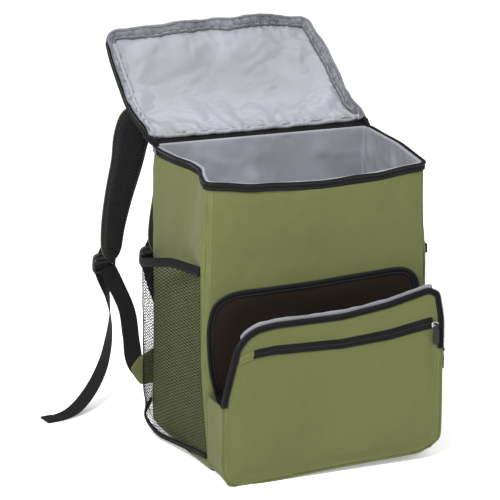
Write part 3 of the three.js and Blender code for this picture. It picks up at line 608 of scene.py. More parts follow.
class Finish(Enum):
    """Each finish on the bag, with the record's slot that it belongs to."""

    OLIVE = (WovenCloth("olive_weave", "595d39"), "olive_cloth")
    OLIVE_EDGE = (WovenCloth("olive_edge", "626641", 0.9, 0.04, 0.2), "olive_cloth")
    LINING = (FoilLining("grey_film", "7e7f84", "8a8c96"), "grey_lining")
    # The next two are darker copies of the lining film: painted shade on the border and binding along the lid's top and
    # right edges, and on the border's hem all round.
    LID_BORDER_PAINTED_SHADE = (FoilLining("grey_border_painted_shade", "515257", "6e7077", 0.38, 0.9), "grey_lining")
    LID_BINDING_PAINTED_SHADE = (FoilLining("grey_binding_painted_shade", "3f4044", "5a5b60", 0.45, 0.8), "grey_lining")
    # Near-black cloth on the front pocket's inner faces and back wall: painted shade inside the gaping pocket, whose
    # lining is grey.
    POCKET_PAINTED_SHADE = (WovenCloth("pocket_painted_shade", "1f1814", 1.1, 0.0, 0.1), "grey_lining")
    TAPE = (RibbedTape("zip_tape", "111112", 1.1, 1.5, 0.0), "black_tape")
    BINDING = (RibbedTape("edge_binding", "0f0f10", 0.9, 1.9, 0.0), "black_tape")
    WEBBING = (RibbedTape("webbing_weave", "171516", 1.9, 2.6, 0.7), "webbing")
    NET = (RibbedTape("net_cord", "101011", 0.8, 0.6, 0.0), "black_net")
    AIR_MESH = (SpacerMesh("air_mesh", "121113"), "air_mesh")
    BUCKLE = (SmallPart("buckle_plastic", "26272a", Lustre.PLASTIC), "grey_plastic")
    METAL = (SmallPart("slider_metal", "c4c4c0", Lustre.METAL), "pale_metal")
    DARK_METAL = (SmallPart("slider_dark", "5b5c60", Lustre.METAL), "dark_slider")
    RUBBER = (SmallPart("pull_rubber", "19191a", Lustre.RUBBER), "black_rubber")
    COIL = (SmallPart("zip_coil", "131314", Lustre.COIL), "black_tape")
    OLIVE_THREAD = (SmallPart("olive_thread", "7a8052", Lustre.THREAD), "olive_cloth")
    GREY_THREAD = (SmallPart("grey_thread", "a9abb1", Lustre.THREAD), "grey_lining")
    BLACK_THREAD = (SmallPart("black_thread", "2a2a2c", Lustre.THREAD), "black_tape")


class Wardrobe:
    """Builds each finish once and hands it out."""

    made: dict[Finish, bpy.types.Material] = {}

    @classmethod
    def get(cls, finish: Finish) -> bpy.types.Material:
        """Returns the material of a finish."""
        if finish not in cls.made:
            cls.made[finish] = finish.value[0].build()
        return cls.made[finish]


@dataclass
class Shape:
    """Points and faces of one piece, with what its finish reads at each point.

    Args:
        points: places in millimetres.
        faces: rows of indices.
        cloth: millimetres along and across the weave at each point.
        worn: how near a seam or an edge each point is.
        patches: which finish of the piece each face has.
    """

    points: np.ndarray
    faces: list
    cloth: np.ndarray
    worn: np.ndarray
    patches: np.ndarray | None = None

    @staticmethod
    def joined(parts: Sequence["Shape"]) -> "Shape":
        """Puts several shapes into one."""
        start, faces, patches = 0, [], []
        for part in parts:
            faces += [tuple(i + start for i in face) for face in part.faces]
            patches.append(part.patches if part.patches is not None else np.zeros(len(part.faces), int))
            start += len(part.points)
        return Shape(
            np.vstack([p.points for p in parts]),
            faces,
            np.vstack([p.cloth for p in parts]),
            np.concatenate([p.worn for p in parts]),
            np.concatenate(patches),
        )

    def volume(self) -> float:
        """Measures the signed volume, which is negative where the faces point inward."""
        p = self.points - self.points.mean(axis=0)
        quads = np.array([f[:4] if len(f) >= 4 else (*f, f[2]) for f in self.faces])
        a, b, c, d = (p[quads[:, k]] for k in range(4))
        return float(sum(np.einsum("ij,ij->i", a, np.cross(e, f)).sum() for e, f in ((b, c), (c, d))))


def dress(name: str, shape: Shape, finishes: Sequence[Finish], stands_for: Sequence[str] = (), body: str = BAG,
          crease: float = 40.0, closed: bool = True) -> bpy.types.Object:
    """Makes a piece of the bag from a shape.

    Args:
        name: the piece's name.
        shape: its points and faces.
        finishes: what it is covered in, in the order of its patches.
        stands_for: the solids that it replaces.
        body: the body that it rides on.
        crease: edges sharper than this many degrees stay sharp.
        closed: whether its faces are turned outward by its volume.

    Returns:
        The new object.
    """
    faces = shape.faces
    if closed and shape.volume() < 0:
        faces = [tuple(reversed(face)) for face in faces]
    mesh = bpy.data.meshes.new(name)
    mesh.from_pydata((shape.points * MM).tolist(), [], faces)
    mesh.attributes.new("cloth", "FLOAT_VECTOR", "POINT").data.foreach_set(
        "vector", np.column_stack([shape.cloth * MM, np.zeros(len(shape.cloth))]).astype(np.float32).ravel()
    )
    mesh.attributes.new("worn", "FLOAT", "POINT").data.foreach_set("value", shape.worn.astype(np.float32))
    mesh.shade_smooth()
    mesh.set_sharp_from_angle(angle=math.radians(crease))
    for finish in finishes:
        mesh.materials.append(Wardrobe.get(finish))
    if shape.patches is not None:
        mesh.polygons.foreach_set("material_index", shape.patches.astype(np.int32))
    mesh.update()
    piece = bpy.data.objects.new(name, mesh)
    bpy.context.scene.collection.objects.link(piece)
    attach(piece, body)
    if stands_for:
        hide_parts(*stands_for)
    log.info("%s: %d points, %d faces", name, len(mesh.vertices), len(mesh.polygons))
    return piece


def grid_faces(rows: int, cols: int, start: int = 0, wrap: bool = False) -> list:
    """Lists the quads of a grid of points, whose last column may join its first."""
    r, c = np.meshgrid(np.arange(rows - 1), np.arange(cols if wrap else cols - 1), indexing="ij")
    a = start + r * cols + c
    b = start + r * cols + (c + 1) % cols
    return np.stack([a, b, b + cols, a + cols], axis=-1).reshape(-1, 4).tolist()


def grid_cloth(grid: np.ndarray) -> np.ndarray:
    """Measures a grid of points along its weave: millimetres across and up, from its middle."""
    across = np.linalg.norm(np.diff(grid, axis=1), axis=2).mean(axis=0)
    up = np.linalg.norm(np.diff(grid, axis=0), axis=2).mean(axis=1)
    u = np.concatenate([[0], np.cumsum(across)])
    v = np.concatenate([[0], np.cumsum(up)])
    return np.stack(np.meshgrid(u - u[-1] / 2, v - v[-1] / 2), axis=-1)


def edge_distance(cloth: np.ndarray, bottom: bool = True) -> np.ndarray:
    """Measures how far each point of a grid is from its nearest edge."""
    u, v = cloth[..., 0], cloth[..., 1]
    sides = np.minimum(u - u.min(), u.max() - u)
    ends = np.minimum(v - v.min(), v.max() - v) if bottom else v.max() - v
    return np.minimum(sides, ends)


def slab(outer: np.ndarray, inner: np.ndarray, worn: np.ndarray | None = None, wrap: bool = False) -> Shape:
    """Closes a sheet between two grids of points.

    Args:
        outer: the side that shows.
        inner: the other side, with the same rows and columns.
        worn: how near a seam each point of the outer side is.
        wrap: whether the last column joins the first.

    Returns:
        The closed shape; the outer side's faces are patch 0 and the inner side's are patch 1.
    """
    rows, cols = outer.shape[:2]
    count = rows * cols
    front = grid_faces(rows, cols, 0, wrap)
    back = [tuple(reversed(f)) for f in grid_faces(rows, cols, count, wrap)]
    rim = []
    for r in (0, rows - 1):
        for c in range(cols if wrap else cols - 1):
            a, b = r * cols + c, r * cols + (c + 1) % cols
            rim.append((b, a, a + count, b + count) if r == 0 else (a, b, b + count, a + count))
    if not wrap:
        for c in (0, cols - 1):
            for r in range(rows - 1):
                a, b = r * cols + c, (r + 1) * cols + c
                rim.append((a, b, b + count, a + count) if c == 0 else (b, a, a + count, b + count))
    cloth = grid_cloth(outer).reshape(-1, 2)
    wear = np.zeros(count) if worn is None else worn.reshape(-1)
    patches = np.array([0] * len(front) + [1] * len(back) + [0] * len(rim))
    return Shape(
        np.vstack([outer.reshape(-1, 3), inner.reshape(-1, 3)]),
        front + back + rim,
        np.vstack([cloth, cloth]),
        np.concatenate([wear, wear]),
        patches,
    )


def sweep(path: np.ndarray, side: np.ndarray, out: np.ndarray, profile: np.ndarray, loop: bool = False,
          patches: Sequence[int] | None = None, worn: float = 0.0) -> Shape:
    """Carries a closed profile along a path.

    Args:
        path: the places that it passes.
        side: the direction of the profile's first number at each place.
        out: the direction of its second number.
        profile: pairs of millimetres round the profile, the same all along or one set for each place.
        loop: whether the path's end joins its start.
        patches: which finish each stretch of the profile has.
        worn: how worn it is at its edges.

    Returns:
        The closed shape.
    """
    if profile.ndim == 2:
        profile = np.broadcast_to(profile, (len(path), *profile.shape))
    count, around = profile.shape[:2]
    rings = (
        path[:, None] + side[:, None] * profile[..., :1] + out[:, None] * profile[..., 1:]
    )
    run = lengths(path)
    faces, marks = [], []
    for i in range(count if loop else count - 1):
        j = (i + 1) % count
        for k in range(around):
            m = (k + 1) % around
            faces.append((i * around + k, i * around + m, j * around + m, j * around + k))
            marks.append(patches[k] if patches is not None else 0)
    points = rings.reshape(-1, 3)
    cloth = np.stack(np.broadcast_arrays(run[:, None], profile[..., 0]), axis=-1).reshape(-1, 2)
    wear = np.full(len(points), worn)
    if not loop:
        ends = [rings[0].mean(axis=0), rings[-1].mean(axis=0)]
        points = np.vstack([points, ends])
        cloth = np.vstack([cloth, [[run[0], 0], [run[-1], 0]]])
        wear = np.concatenate([wear, [worn, worn]])
        last = (count - 1) * around
        for k in range(around):
            m = (k + 1) % around
            faces += [(count * around, m, k), (count * around + 1, last + k, last + m)]
            marks += [0, 0]
    return Shape(points, faces, cloth, wear, np.array(marks))


def round_profile(width: float, height: float, count: int = 8, power: float = 0.75) -> np.ndarray:
    """Draws a rounded bar's profile, from flat (power near 0) to oval (power 1)."""
    turn = np.linspace(0, 2 * math.pi, count, endpoint=False)
    shape = np.stack([np.cos(turn), np.sin(turn)], axis=1)
    return np.sign(shape) * np.abs(shape) ** power * np.array([width / 2, height / 2])


def square(side: np.ndarray, ahead: np.ndarray) -> np.ndarray:
    """Turns directions square to the way ahead."""
    return unit(side - ahead * np.sum(side * ahead, axis=1, keepdims=True))


def studs(path: np.ndarray, out: np.ndarray, pitch: float, size: tuple[float, float, float], lift: float = 0.0,
          across: bool = False) -> Shape:
    """Sets small rounded blocks along a path: stitches, or the teeth of a zip.

    Args:
        path: the line that they follow.
        out: which way they stand up at each place.
        pitch: the distance between them in millimetres.
        size: their length, width and height.
        lift: how far off the path their middle stands.
        across: whether they lie across the path.

    Returns:
        All of them in one shape.
    """
    places, ups = even(pitch, path, out)
    ahead = unit(np.gradient(places, axis=0))
    ups = square(ups, ahead)
    beside = np.cross(ahead, ups)
    long, wide, high = (s / 2 for s in size)
    if across:
        ahead, beside = beside, ahead
    corners = []
    for z, shrink in ((-high, 0.8), (high * 0.4, 1.0), (high, 0.55)):
        for x, y in ((-1, -1), (1, -1), (1, 1), (-1, 1)):
            corners.append(
                places + ahead * long * x * shrink + beside * wide * y * shrink + ups * (z + lift)
            )
    points = np.stack(corners, axis=1)
    block = [(0, 3, 2, 1), (8, 9, 10, 11)]
    for low in (0, 4):
        block += [(low + k, low + (k + 1) % 4, low + 4 + (k + 1) % 4, low + 4 + k) for k in range(4)]
    start = np.arange(len(places)) * 12
    faces = (np.array(block)[None] + start[:, None, None]).reshape(-1, 4).tolist()
    flat = points.reshape(-1, 3)
    return Shape(flat, faces, flat[:, :2].copy(), np.zeros(len(flat)), np.zeros(len(faces), int))


def settle(base: np.ndarray, held: np.ndarray, slack: float, push: float, cap: float) -> np.ndarray:
    """Lets a sheet of cloth with some spare length find its folds.

    Args:
        base: the sheet's grid of points in millimetres.
        held: which points are sewn down.
        slack: the spare length as a share.
        push: the pressure on the side that its normals face, from what fills it.
        cap: how far a point may move in millimetres.

    Returns:
        How far each point moved in millimetres.
    """
    rows, cols = base.shape[:2]
    mesh = bpy.data.meshes.new("settling")
    mesh.from_pydata((base.reshape(-1, 3) * MM).tolist(), [], grid_faces(rows, cols))
    cloth_object = bpy.data.objects.new("settling", mesh)
    scene = bpy.context.scene
    scene.collection.objects.link(cloth_object)
    group = cloth_object.vertex_groups.new(name="held")
    group.add(np.flatnonzero(held.reshape(-1)).tolist(), 1.0, "REPLACE")
    modifier = cloth_object.modifiers.new("settling", "CLOTH")
    settings = modifier.settings
    settings.quality = 6
    settings.mass = 0.3
    settings.tension_stiffness = 20
    settings.compression_stiffness = 20
    settings.shear_stiffness = 6
    settings.bending_stiffness = 0.4
    settings.vertex_group_mass = "held"
    settings.shrink_min = -slack
    settings.use_pressure = True
    settings.uniform_pressure_force = push
    settings.effector_weights.gravity = 0
    modifier.point_cache.frame_start = 1
    modifier.point_cache.frame_end = 20
    for number in range(1, 21):
        scene.frame_set(number)
    shown = cloth_object.evaluated_get(bpy.context.evaluated_depsgraph_get())
    ends = np.zeros(rows * cols * 3, np.float32)
    shown.data.vertices.foreach_get("co", ends)
    moved = ends.reshape(rows, cols, 3).astype(float) / MM - base
    bpy.data.objects.remove(cloth_object)
    scene.frame_set(1)
    size = np.linalg.norm(moved, axis=2, keepdims=True)
    return moved * np.minimum(1, cap / np.maximum(size, 1e-6))


def finer(field_grid: np.ndarray, rows: int, cols: int) -> np.ndarray:
    """Spreads a grid of vectors over more rows and columns, and rounds it a little."""
    have_r, have_c = field_grid.shape[:2]
    at_r, at_c = np.linspace(0, have_r - 1, rows), np.linspace(0, have_c - 1, cols)
    r, c = np.minimum(at_r.astype(int), have_r - 2), np.minimum(at_c.astype(int), have_c - 2)
    a, b = (at_r - r)[:, None, None], (at_c - c)[None, :, None]
    f = field_grid
    near, far = (f[r][:, k] * (1 - a) + f[r + 1][:, k] * a for k in (c, c + 1))
    wide = near * (1 - b) + far * b
    for _ in range(2):
        wide[1:-1] = (wide[:-2] + 2 * wide[1:-1] + wide[2:]) / 4
        wide[:, 1:-1] = (wide[:, :-2] + 2 * wide[:, 1:-1] + wide[:, 2:]) / 4
    return wide


class Wall(Enum):
    """The four walls of the bag."""

    FRONT = "body_front_panel"
    BACK = "body_back_panel"
    LEFT = "body_side_left"
    RIGHT = "body_side_right"


@dataclass
class BagBody:
    """The soft upright bag: its walls, base, lining and open rim."""

    half_width: float = 150.0
    half_depth: float = 103.0
    rim_height: float = 379.0
    corner: float = 11.0
    seam_turn: float = 48.0
    foot: float = 12.0
    wall: float = 1.6
    lining_wall: float = 5.0
    lining_gap: float = 0.95
    tape_height: float = 10.0
    left_rim: Table = Table((0, 0.2, 0.34, 0.48, 0.66, 0.85, 1), (0.01, 0.037, 0.068, 0.062, 0.025, 0.01, 0.008))
    right_rim: Table = Table((0, 0.5, 1), (0.014, -0.014, -0.004))
    left_foot: Table = Table((0, 0.45, 1), (0.03, 0.004, -0.012))
    front_down: Table = Table((0, 0.2, 0.5, 0.75, 1), (0, 0.02, 0.03, 0.02, 0))
    front_out: Table = Table((0, 0.2, 0.5, 0.75, 1), (0, 0.024, 0.034, 0.028, 0))
    stitches: list = field(default_factory=list)

    def soften(self, points: np.ndarray) -> np.ndarray:
        """Moves points of the square box to where the soft bag holds them."""
        x, y, z = points[..., 0], points[..., 1], points[..., 2]
        across = np.clip((x + self.half_width) / (2 * self.half_width), 0, 1)
        along = np.clip((y + self.half_depth) / (2 * self.half_depth), 0, 1)
        up = z / self.rim_height
        side = smooth(0.35, 0.93, np.abs(x) / self.half_width)
        rim = np.where(x < 0, self.left_rim(along), self.right_rim(along)) * smooth(0.58, 1, up)
        foot = np.where(x < 0, self.left_foot(along), 0) * (1 - smooth(0, 0.4, up))
        inward = side * 2 * self.half_width * (rim + foot)
        sag = smooth(0.1, 0.95, -y / self.half_depth) * smooth(0.7, 1, up) * 2 * self.half_width
        return point(x - np.sign(x) * inward, y - self.front_out(across) * sag, z - self.front_down(across) * sag)

    def stations(self, wall: Wall, count: int) -> tuple[np.ndarray, np.ndarray]:
        """Lists the places round one wall, seen from above.

        Args:
            wall: which wall.
            count: how many places.

        Returns:
            The centre of each place's corner radius, and which way it faces.
        """
        reach_x, reach_y = self.half_width - self.corner, self.half_depth - self.corner
        seam = math.radians(self.seam_turn)
        if wall in (Wall.FRONT, Wall.BACK):
            end = -1 if wall is Wall.FRONT else 1
            bend = self.corner * seam if wall is Wall.FRONT else 0
            run = np.linspace(0.3 - bend, 2 * reach_x + bend - 0.3, count)
            turn = (np.minimum(run, 0) + np.maximum(run - 2 * reach_x, 0)) / self.corner
            x = np.clip(run, 0, 2 * reach_x) - reach_x
            return np.stack([x, np.full(count, end * reach_y)], 1), np.stack([np.sin(turn), end * np.cos(turn)], 1)
        sign = -1 if wall is Wall.LEFT else 1
        near, far = self.corner * (math.pi / 2 - seam), self.corner * math.pi / 2
        run = np.linspace(0, near + far + 2 * reach_y, count)
        turn = seam + (np.clip(run, 0, near) + np.clip(run - near - 2 * reach_y, 0, far)) / self.corner
        y = -reach_y + np.clip(run - near, 0, 2 * reach_y)
        core = np.stack([np.full(count, sign * reach_x), y], 1)
        return core, np.stack([sign * np.sin(turn), -np.cos(turn)], 1)

    def loop(self, count: int) -> tuple[np.ndarray, np.ndarray]:
        """Lists the places all round the bag, from the left back corner by the front to the right."""
        left = self.stations(Wall.LEFT, round(count * 0.24))
        right = self.stations(Wall.RIGHT, round(count * 0.24))
        front = self.stations(Wall.FRONT, round(count * 0.27))
        back = self.stations(Wall.BACK, round(count * 0.27))
        parts = [[a[::-1] for a in left], [a[1:-1] for a in front], right, [a[::-1][1:-1] for a in back]]
        return tuple(np.vstack([p[k] for p in parts]) for k in (0, 1))

    def place(self, core: np.ndarray, way: np.ndarray, inset: np.ndarray, z: np.ndarray) -> np.ndarray:
        """Finds points of the bag's wall: inset lies inside its outer face."""
        inset, z = np.asarray(inset, float), np.asarray(z, float)
        x = core[..., 0] + way[..., 0] * (self.corner - inset)
        y = core[..., 1] + way[..., 1] * (self.corner - inset)
        return self.soften(point(x, y, z))

    def front(self, x: np.ndarray) -> np.ndarray:
        """Finds where the front of the square box lies at a place across it, round its corners too."""
        turn = np.clip(np.abs(x) - self.half_width + self.corner, 0, self.corner - 0.1)
        return self.corner - self.half_depth - np.sqrt(self.corner**2 - turn**2)

    def foot_inset(self, z: np.ndarray, radius: float) -> np.ndarray:
        """Finds how far the rounded foot draws in at a height."""
        low = np.clip(radius - np.asarray(z, float), 0, radius)
        return radius - np.sqrt(radius**2 - low**2)

    def rows(self, top: float, pitch: float = 3.4) -> np.ndarray:
        """Lists heights up a wall, closer together round the foot."""
        return np.concatenate([np.linspace(1.9, 14, 8)[:-1], np.linspace(14, top, round((top - 14) / pitch))])

    def build_wall(self, wall: Wall, seed: int) -> None:
        """Makes one padded wall, puckered along its seams.

        Args:
            wall: which wall.
            seed: picks its folds.
        """
        count = {Wall.FRONT: 96, Wall.BACK: 96}.get(wall, 84)
        core, way = self.stations(wall, count)
        z = self.rows(self.rim_height - self.tape_height - 0.3)
        shape = (len(z), count, 2)
        inset = self.foot_inset(z, self.foot)[:, None]
        base = self.place(np.broadcast_to(core, shape), np.broadcast_to(way, shape), inset, z[:, None])
        inner = self.place(np.broadcast_to(core, shape), np.broadcast_to(way, shape), inset + self.wall, z[:, None])
        facing = unit(base - inner)
        cloth = grid_cloth(base)
        u, v = cloth[..., 0], cloth[..., 1]
        sides = np.minimum(u - u.min(), u.max() - u)
        top = v.max() - v
        low, high = {Wall.FRONT: (0.35, 2.4), Wall.BACK: (1.2, 2.2)}.get(wall, (0.8, 2.0))
        free = smooth(236, 280, z)[:, None]
        room = mix(low, high, free) if wall is not Wall.BACK else np.full((len(z), 1), high)
        broad = Ripple(seed, 190)(u, v) * 1.1 + Ripple(seed + 1, 85)(u, v) * 0.65 + Ripple(seed + 2, 34)(u, v) * 0.22
        broad += Creases(seed + 5, 14, (130, 170), (70, 35), (60, 150), (6, 14))(u, v) * 0.9
        fold = np.exp(-(((u - u.min() - 30) / 13) ** 2)) * smooth(210, 340, z)[:, None] if wall is Wall.FRONT else 0
        pucker = Ripple(seed + 3, 9)(u * 0.25, v) * np.exp(-sides / 7) * 0.35
        gather = Ripple(seed + 4, 16)(u, v * 0.25) * np.exp(-top / 9) * 0.4
        pad = 0.9 * (1 - np.exp(-sides / 14)) - 1.3 * np.exp(-((sides / 2.4) ** 2)) - 0.6 * np.exp(-((top / 3) ** 2))
        lift = np.clip(pad + broad + pucker + gather + 0.5 * fold, -1.0, room)
        outer = base + facing * lift[..., None]
        outer[..., 2] = np.maximum(outer[..., 2], 0.2)
        worn = np.clip(np.exp(-sides / 3) + np.exp(-z / 5)[:, None], 0, 1)
        dress(wall.value + "_cloth", slab(outer, inner, worn), [Finish.OLIVE], [wall.value])
        if wall in (Wall.FRONT, Wall.BACK):
            for column in (2, -3):
                first = 3 if wall is Wall.BACK else int(np.searchsorted(z, 246.0))
                line = outer[first:, column]
                self.stitches.append(studs(line, facing[first:, column], 3.1, (2.2, 0.5, 0.45), 0.12))

    def build_base(self) -> None:
        """Makes the base panel."""
        core, way = self.loop(260)
        foot = float(self.foot_inset(np.array(self.wall), self.foot))
        shares = np.linspace(1, 0.03, 22)
        outer = self.place(core, way, foot, 0.15)
        middle = np.array([0, 0, 0.15])
        grid = np.stack([mix(middle, outer, s) for s in shares])
        grid[..., 2] = 0.1 + 0.5 * smooth(0.05, 0.4, 1 - shares)[:, None]
        inner = grid + np.array([0, 0, 1.2])
        dress("base_panel_cloth", slab(grid, inner, None, True), [Finish.OLIVE], ["body_bottom_panel"])

    def build_lining(self) -> None:
        """Makes the padded insulated lining, a bucket with soft creases down its walls."""
        core, way = self.loop(300)
        count = len(core)
        gap = self.wall + self.lining_gap
        base = 2.2
        rise = np.concatenate([np.linspace(base, 24, 8), np.linspace(30, self.rim_height - 6, 40)])
        outside = [self.place(core, way, gap + self.foot_inset(z, 18.0), z) for z in rise]
        lip = []
        for turn in np.linspace(0, math.pi, 7):
            inset = gap + self.lining_wall / 2 * (1 - math.cos(turn))
            lip.append(self.place(core, way, inset, self.rim_height - 2.5 + 2.5 * math.sin(turn)))
        fall = np.concatenate([np.linspace(self.rim_height - 5, 26, 84), np.linspace(24, base + self.lining_wall, 10)])
        run = np.concatenate([[0], np.cumsum(np.linalg.norm(np.diff(outside[20], axis=0), axis=1))])
        inside = []
        for z in fall:
            inset = gap + self.lining_wall + self.foot_inset(max(z - self.lining_wall, base), 18.0)
            deep = smooth(self.rim_height, self.rim_height - 40, z)
            waves = Ripple(31, 120)(run, z) * 1.6 + np.maximum(Ripple(32, 55)(run, z), 0) ** 2 * 1.3
            crease = (1 - np.abs(Ripple(33, 70)(run * 0.6, z))) ** 6 * 1.2
            edge = Ripple(34, 18)(run, z * 0.3) * 0.35 * (1 - deep)
            soft = np.clip(waves + crease, -0.4, 4) * (0.25 + 0.75 * deep)
            inside.append(self.place(core, way, inset + soft + edge, z))
        floor = [mix(np.array([0, 0, base + self.lining_wall]), inside[-1], s) for s in np.linspace(0.93, 0.04, 16)]
        rings = np.stack([*outside, *lip, *inside, *floor])
        worn = np.zeros(rings.shape[:2])
        worn[len(outside) : len(outside) + 7] = 0.6
        shape = Shape(
            rings.reshape(-1, 3),
            grid_faces(len(rings), count, 0, True),
            self.ring_cloth(rings),
            worn.reshape(-1),
        )
        closing = [(len(rings) - 1) * count + c for c in range(count)]
        shape.faces.append(tuple(reversed(range(count))))
        shape.faces.append(tuple(closing))
        dress("cooler_lining_film", shape, [Finish.LINING], ["cooler_lining"])

    @staticmethod
    def ring_cloth(rings: np.ndarray) -> np.ndarray:
        """Measures rings along the weave, the same number of millimetres round for each ring."""
        middle = rings[len(rings) // 2]
        run = lengths(middle)
        up = np.concatenate([[0], np.cumsum(np.linalg.norm(np.diff(rings, axis=0), axis=2).mean(axis=1))])
        return np.stack(np.meshgrid(run, up), axis=-1).reshape(-1, 2)

    def rim_line(self, z: float, inset: float = 0.0, count: int = 420) -> tuple[np.ndarray, np.ndarray]:
        """Follows the rim from the left back corner by the front to the right.

        Args:
            z: the height.
            inset: how far inside the wall's outer face it runs.
            count: how many places.

        Returns:
            The line, and which way it faces.
        """
        left = [a[::-1] for a in self.stations(Wall.LEFT, count // 3)]
        front = [a[1:-1] for a in self.stations(Wall.FRONT, count // 3)]
        right = self.stations(Wall.RIGHT, count // 3)
        core, way = (np.vstack([left[k], front[k], right[k]]) for k in (0, 1))
        line = self.place(core, way, inset, z)
        beyond = self.place(core, way, inset - 3, z)
        return line, unit(beyond - line)

    def build_rim(self) -> None:
        """Makes the zip tape round the open rim, with its coil and stitches."""
        line, out = self.rim_line(self.rim_height)
        run = lengths(line)
        up = np.tile([0.0, 0, 1], (len(line), 1))
        wobble = Ripple(41, 60)(run, 0) * 0.5
        line = line + up * wobble[:, None] * smooth(0, 40, run)[:, None]
        line = line + out * (Ripple(42, 90)(run, 0) * 0.35)[:, None]
        profile = np.array([(-10.2, 0.2), (-9.8, 1.1), (-6.5, 1.35), (-3.4, 1.2), (-2.6, 1.9), (-0.6, 1.8), (0.5, 0.9),
                            (0.4, -0.9), (-0.8, -1.9), (-4, -2.1), (-9.8, -1.5)])
        dress("rim_tape_cloth", sweep(line, up, out, profile, worn=0.4), [Finish.TAPE], ["rim_zip_tape"])
        coil = studs(line - up * 1.5 + out * 2.0, out, 1.7, (3.0, 0.9, 0.9), 0, True)
        dress("rim_zip_coil", coil, [Finish.COIL])
        seam = studs(line - up * 7.6 + out * 1.35, out, 3.0, (2.1, 0.5, 0.4), 0.1)
        dress("rim_tape_stitches", seam, [Finish.BLACK_THREAD])

    def build(self) -> None:
        """Makes the whole body."""
        for seed, wall in enumerate(Wall):
            self.build_wall(wall, 11 + 20 * seed)
        self.build_base()
        self.build_lining()
        self.build_rim()
        dress("body_seam_stitches", Shape.joined(self.stitches), [Finish.OLIVE_THREAD])


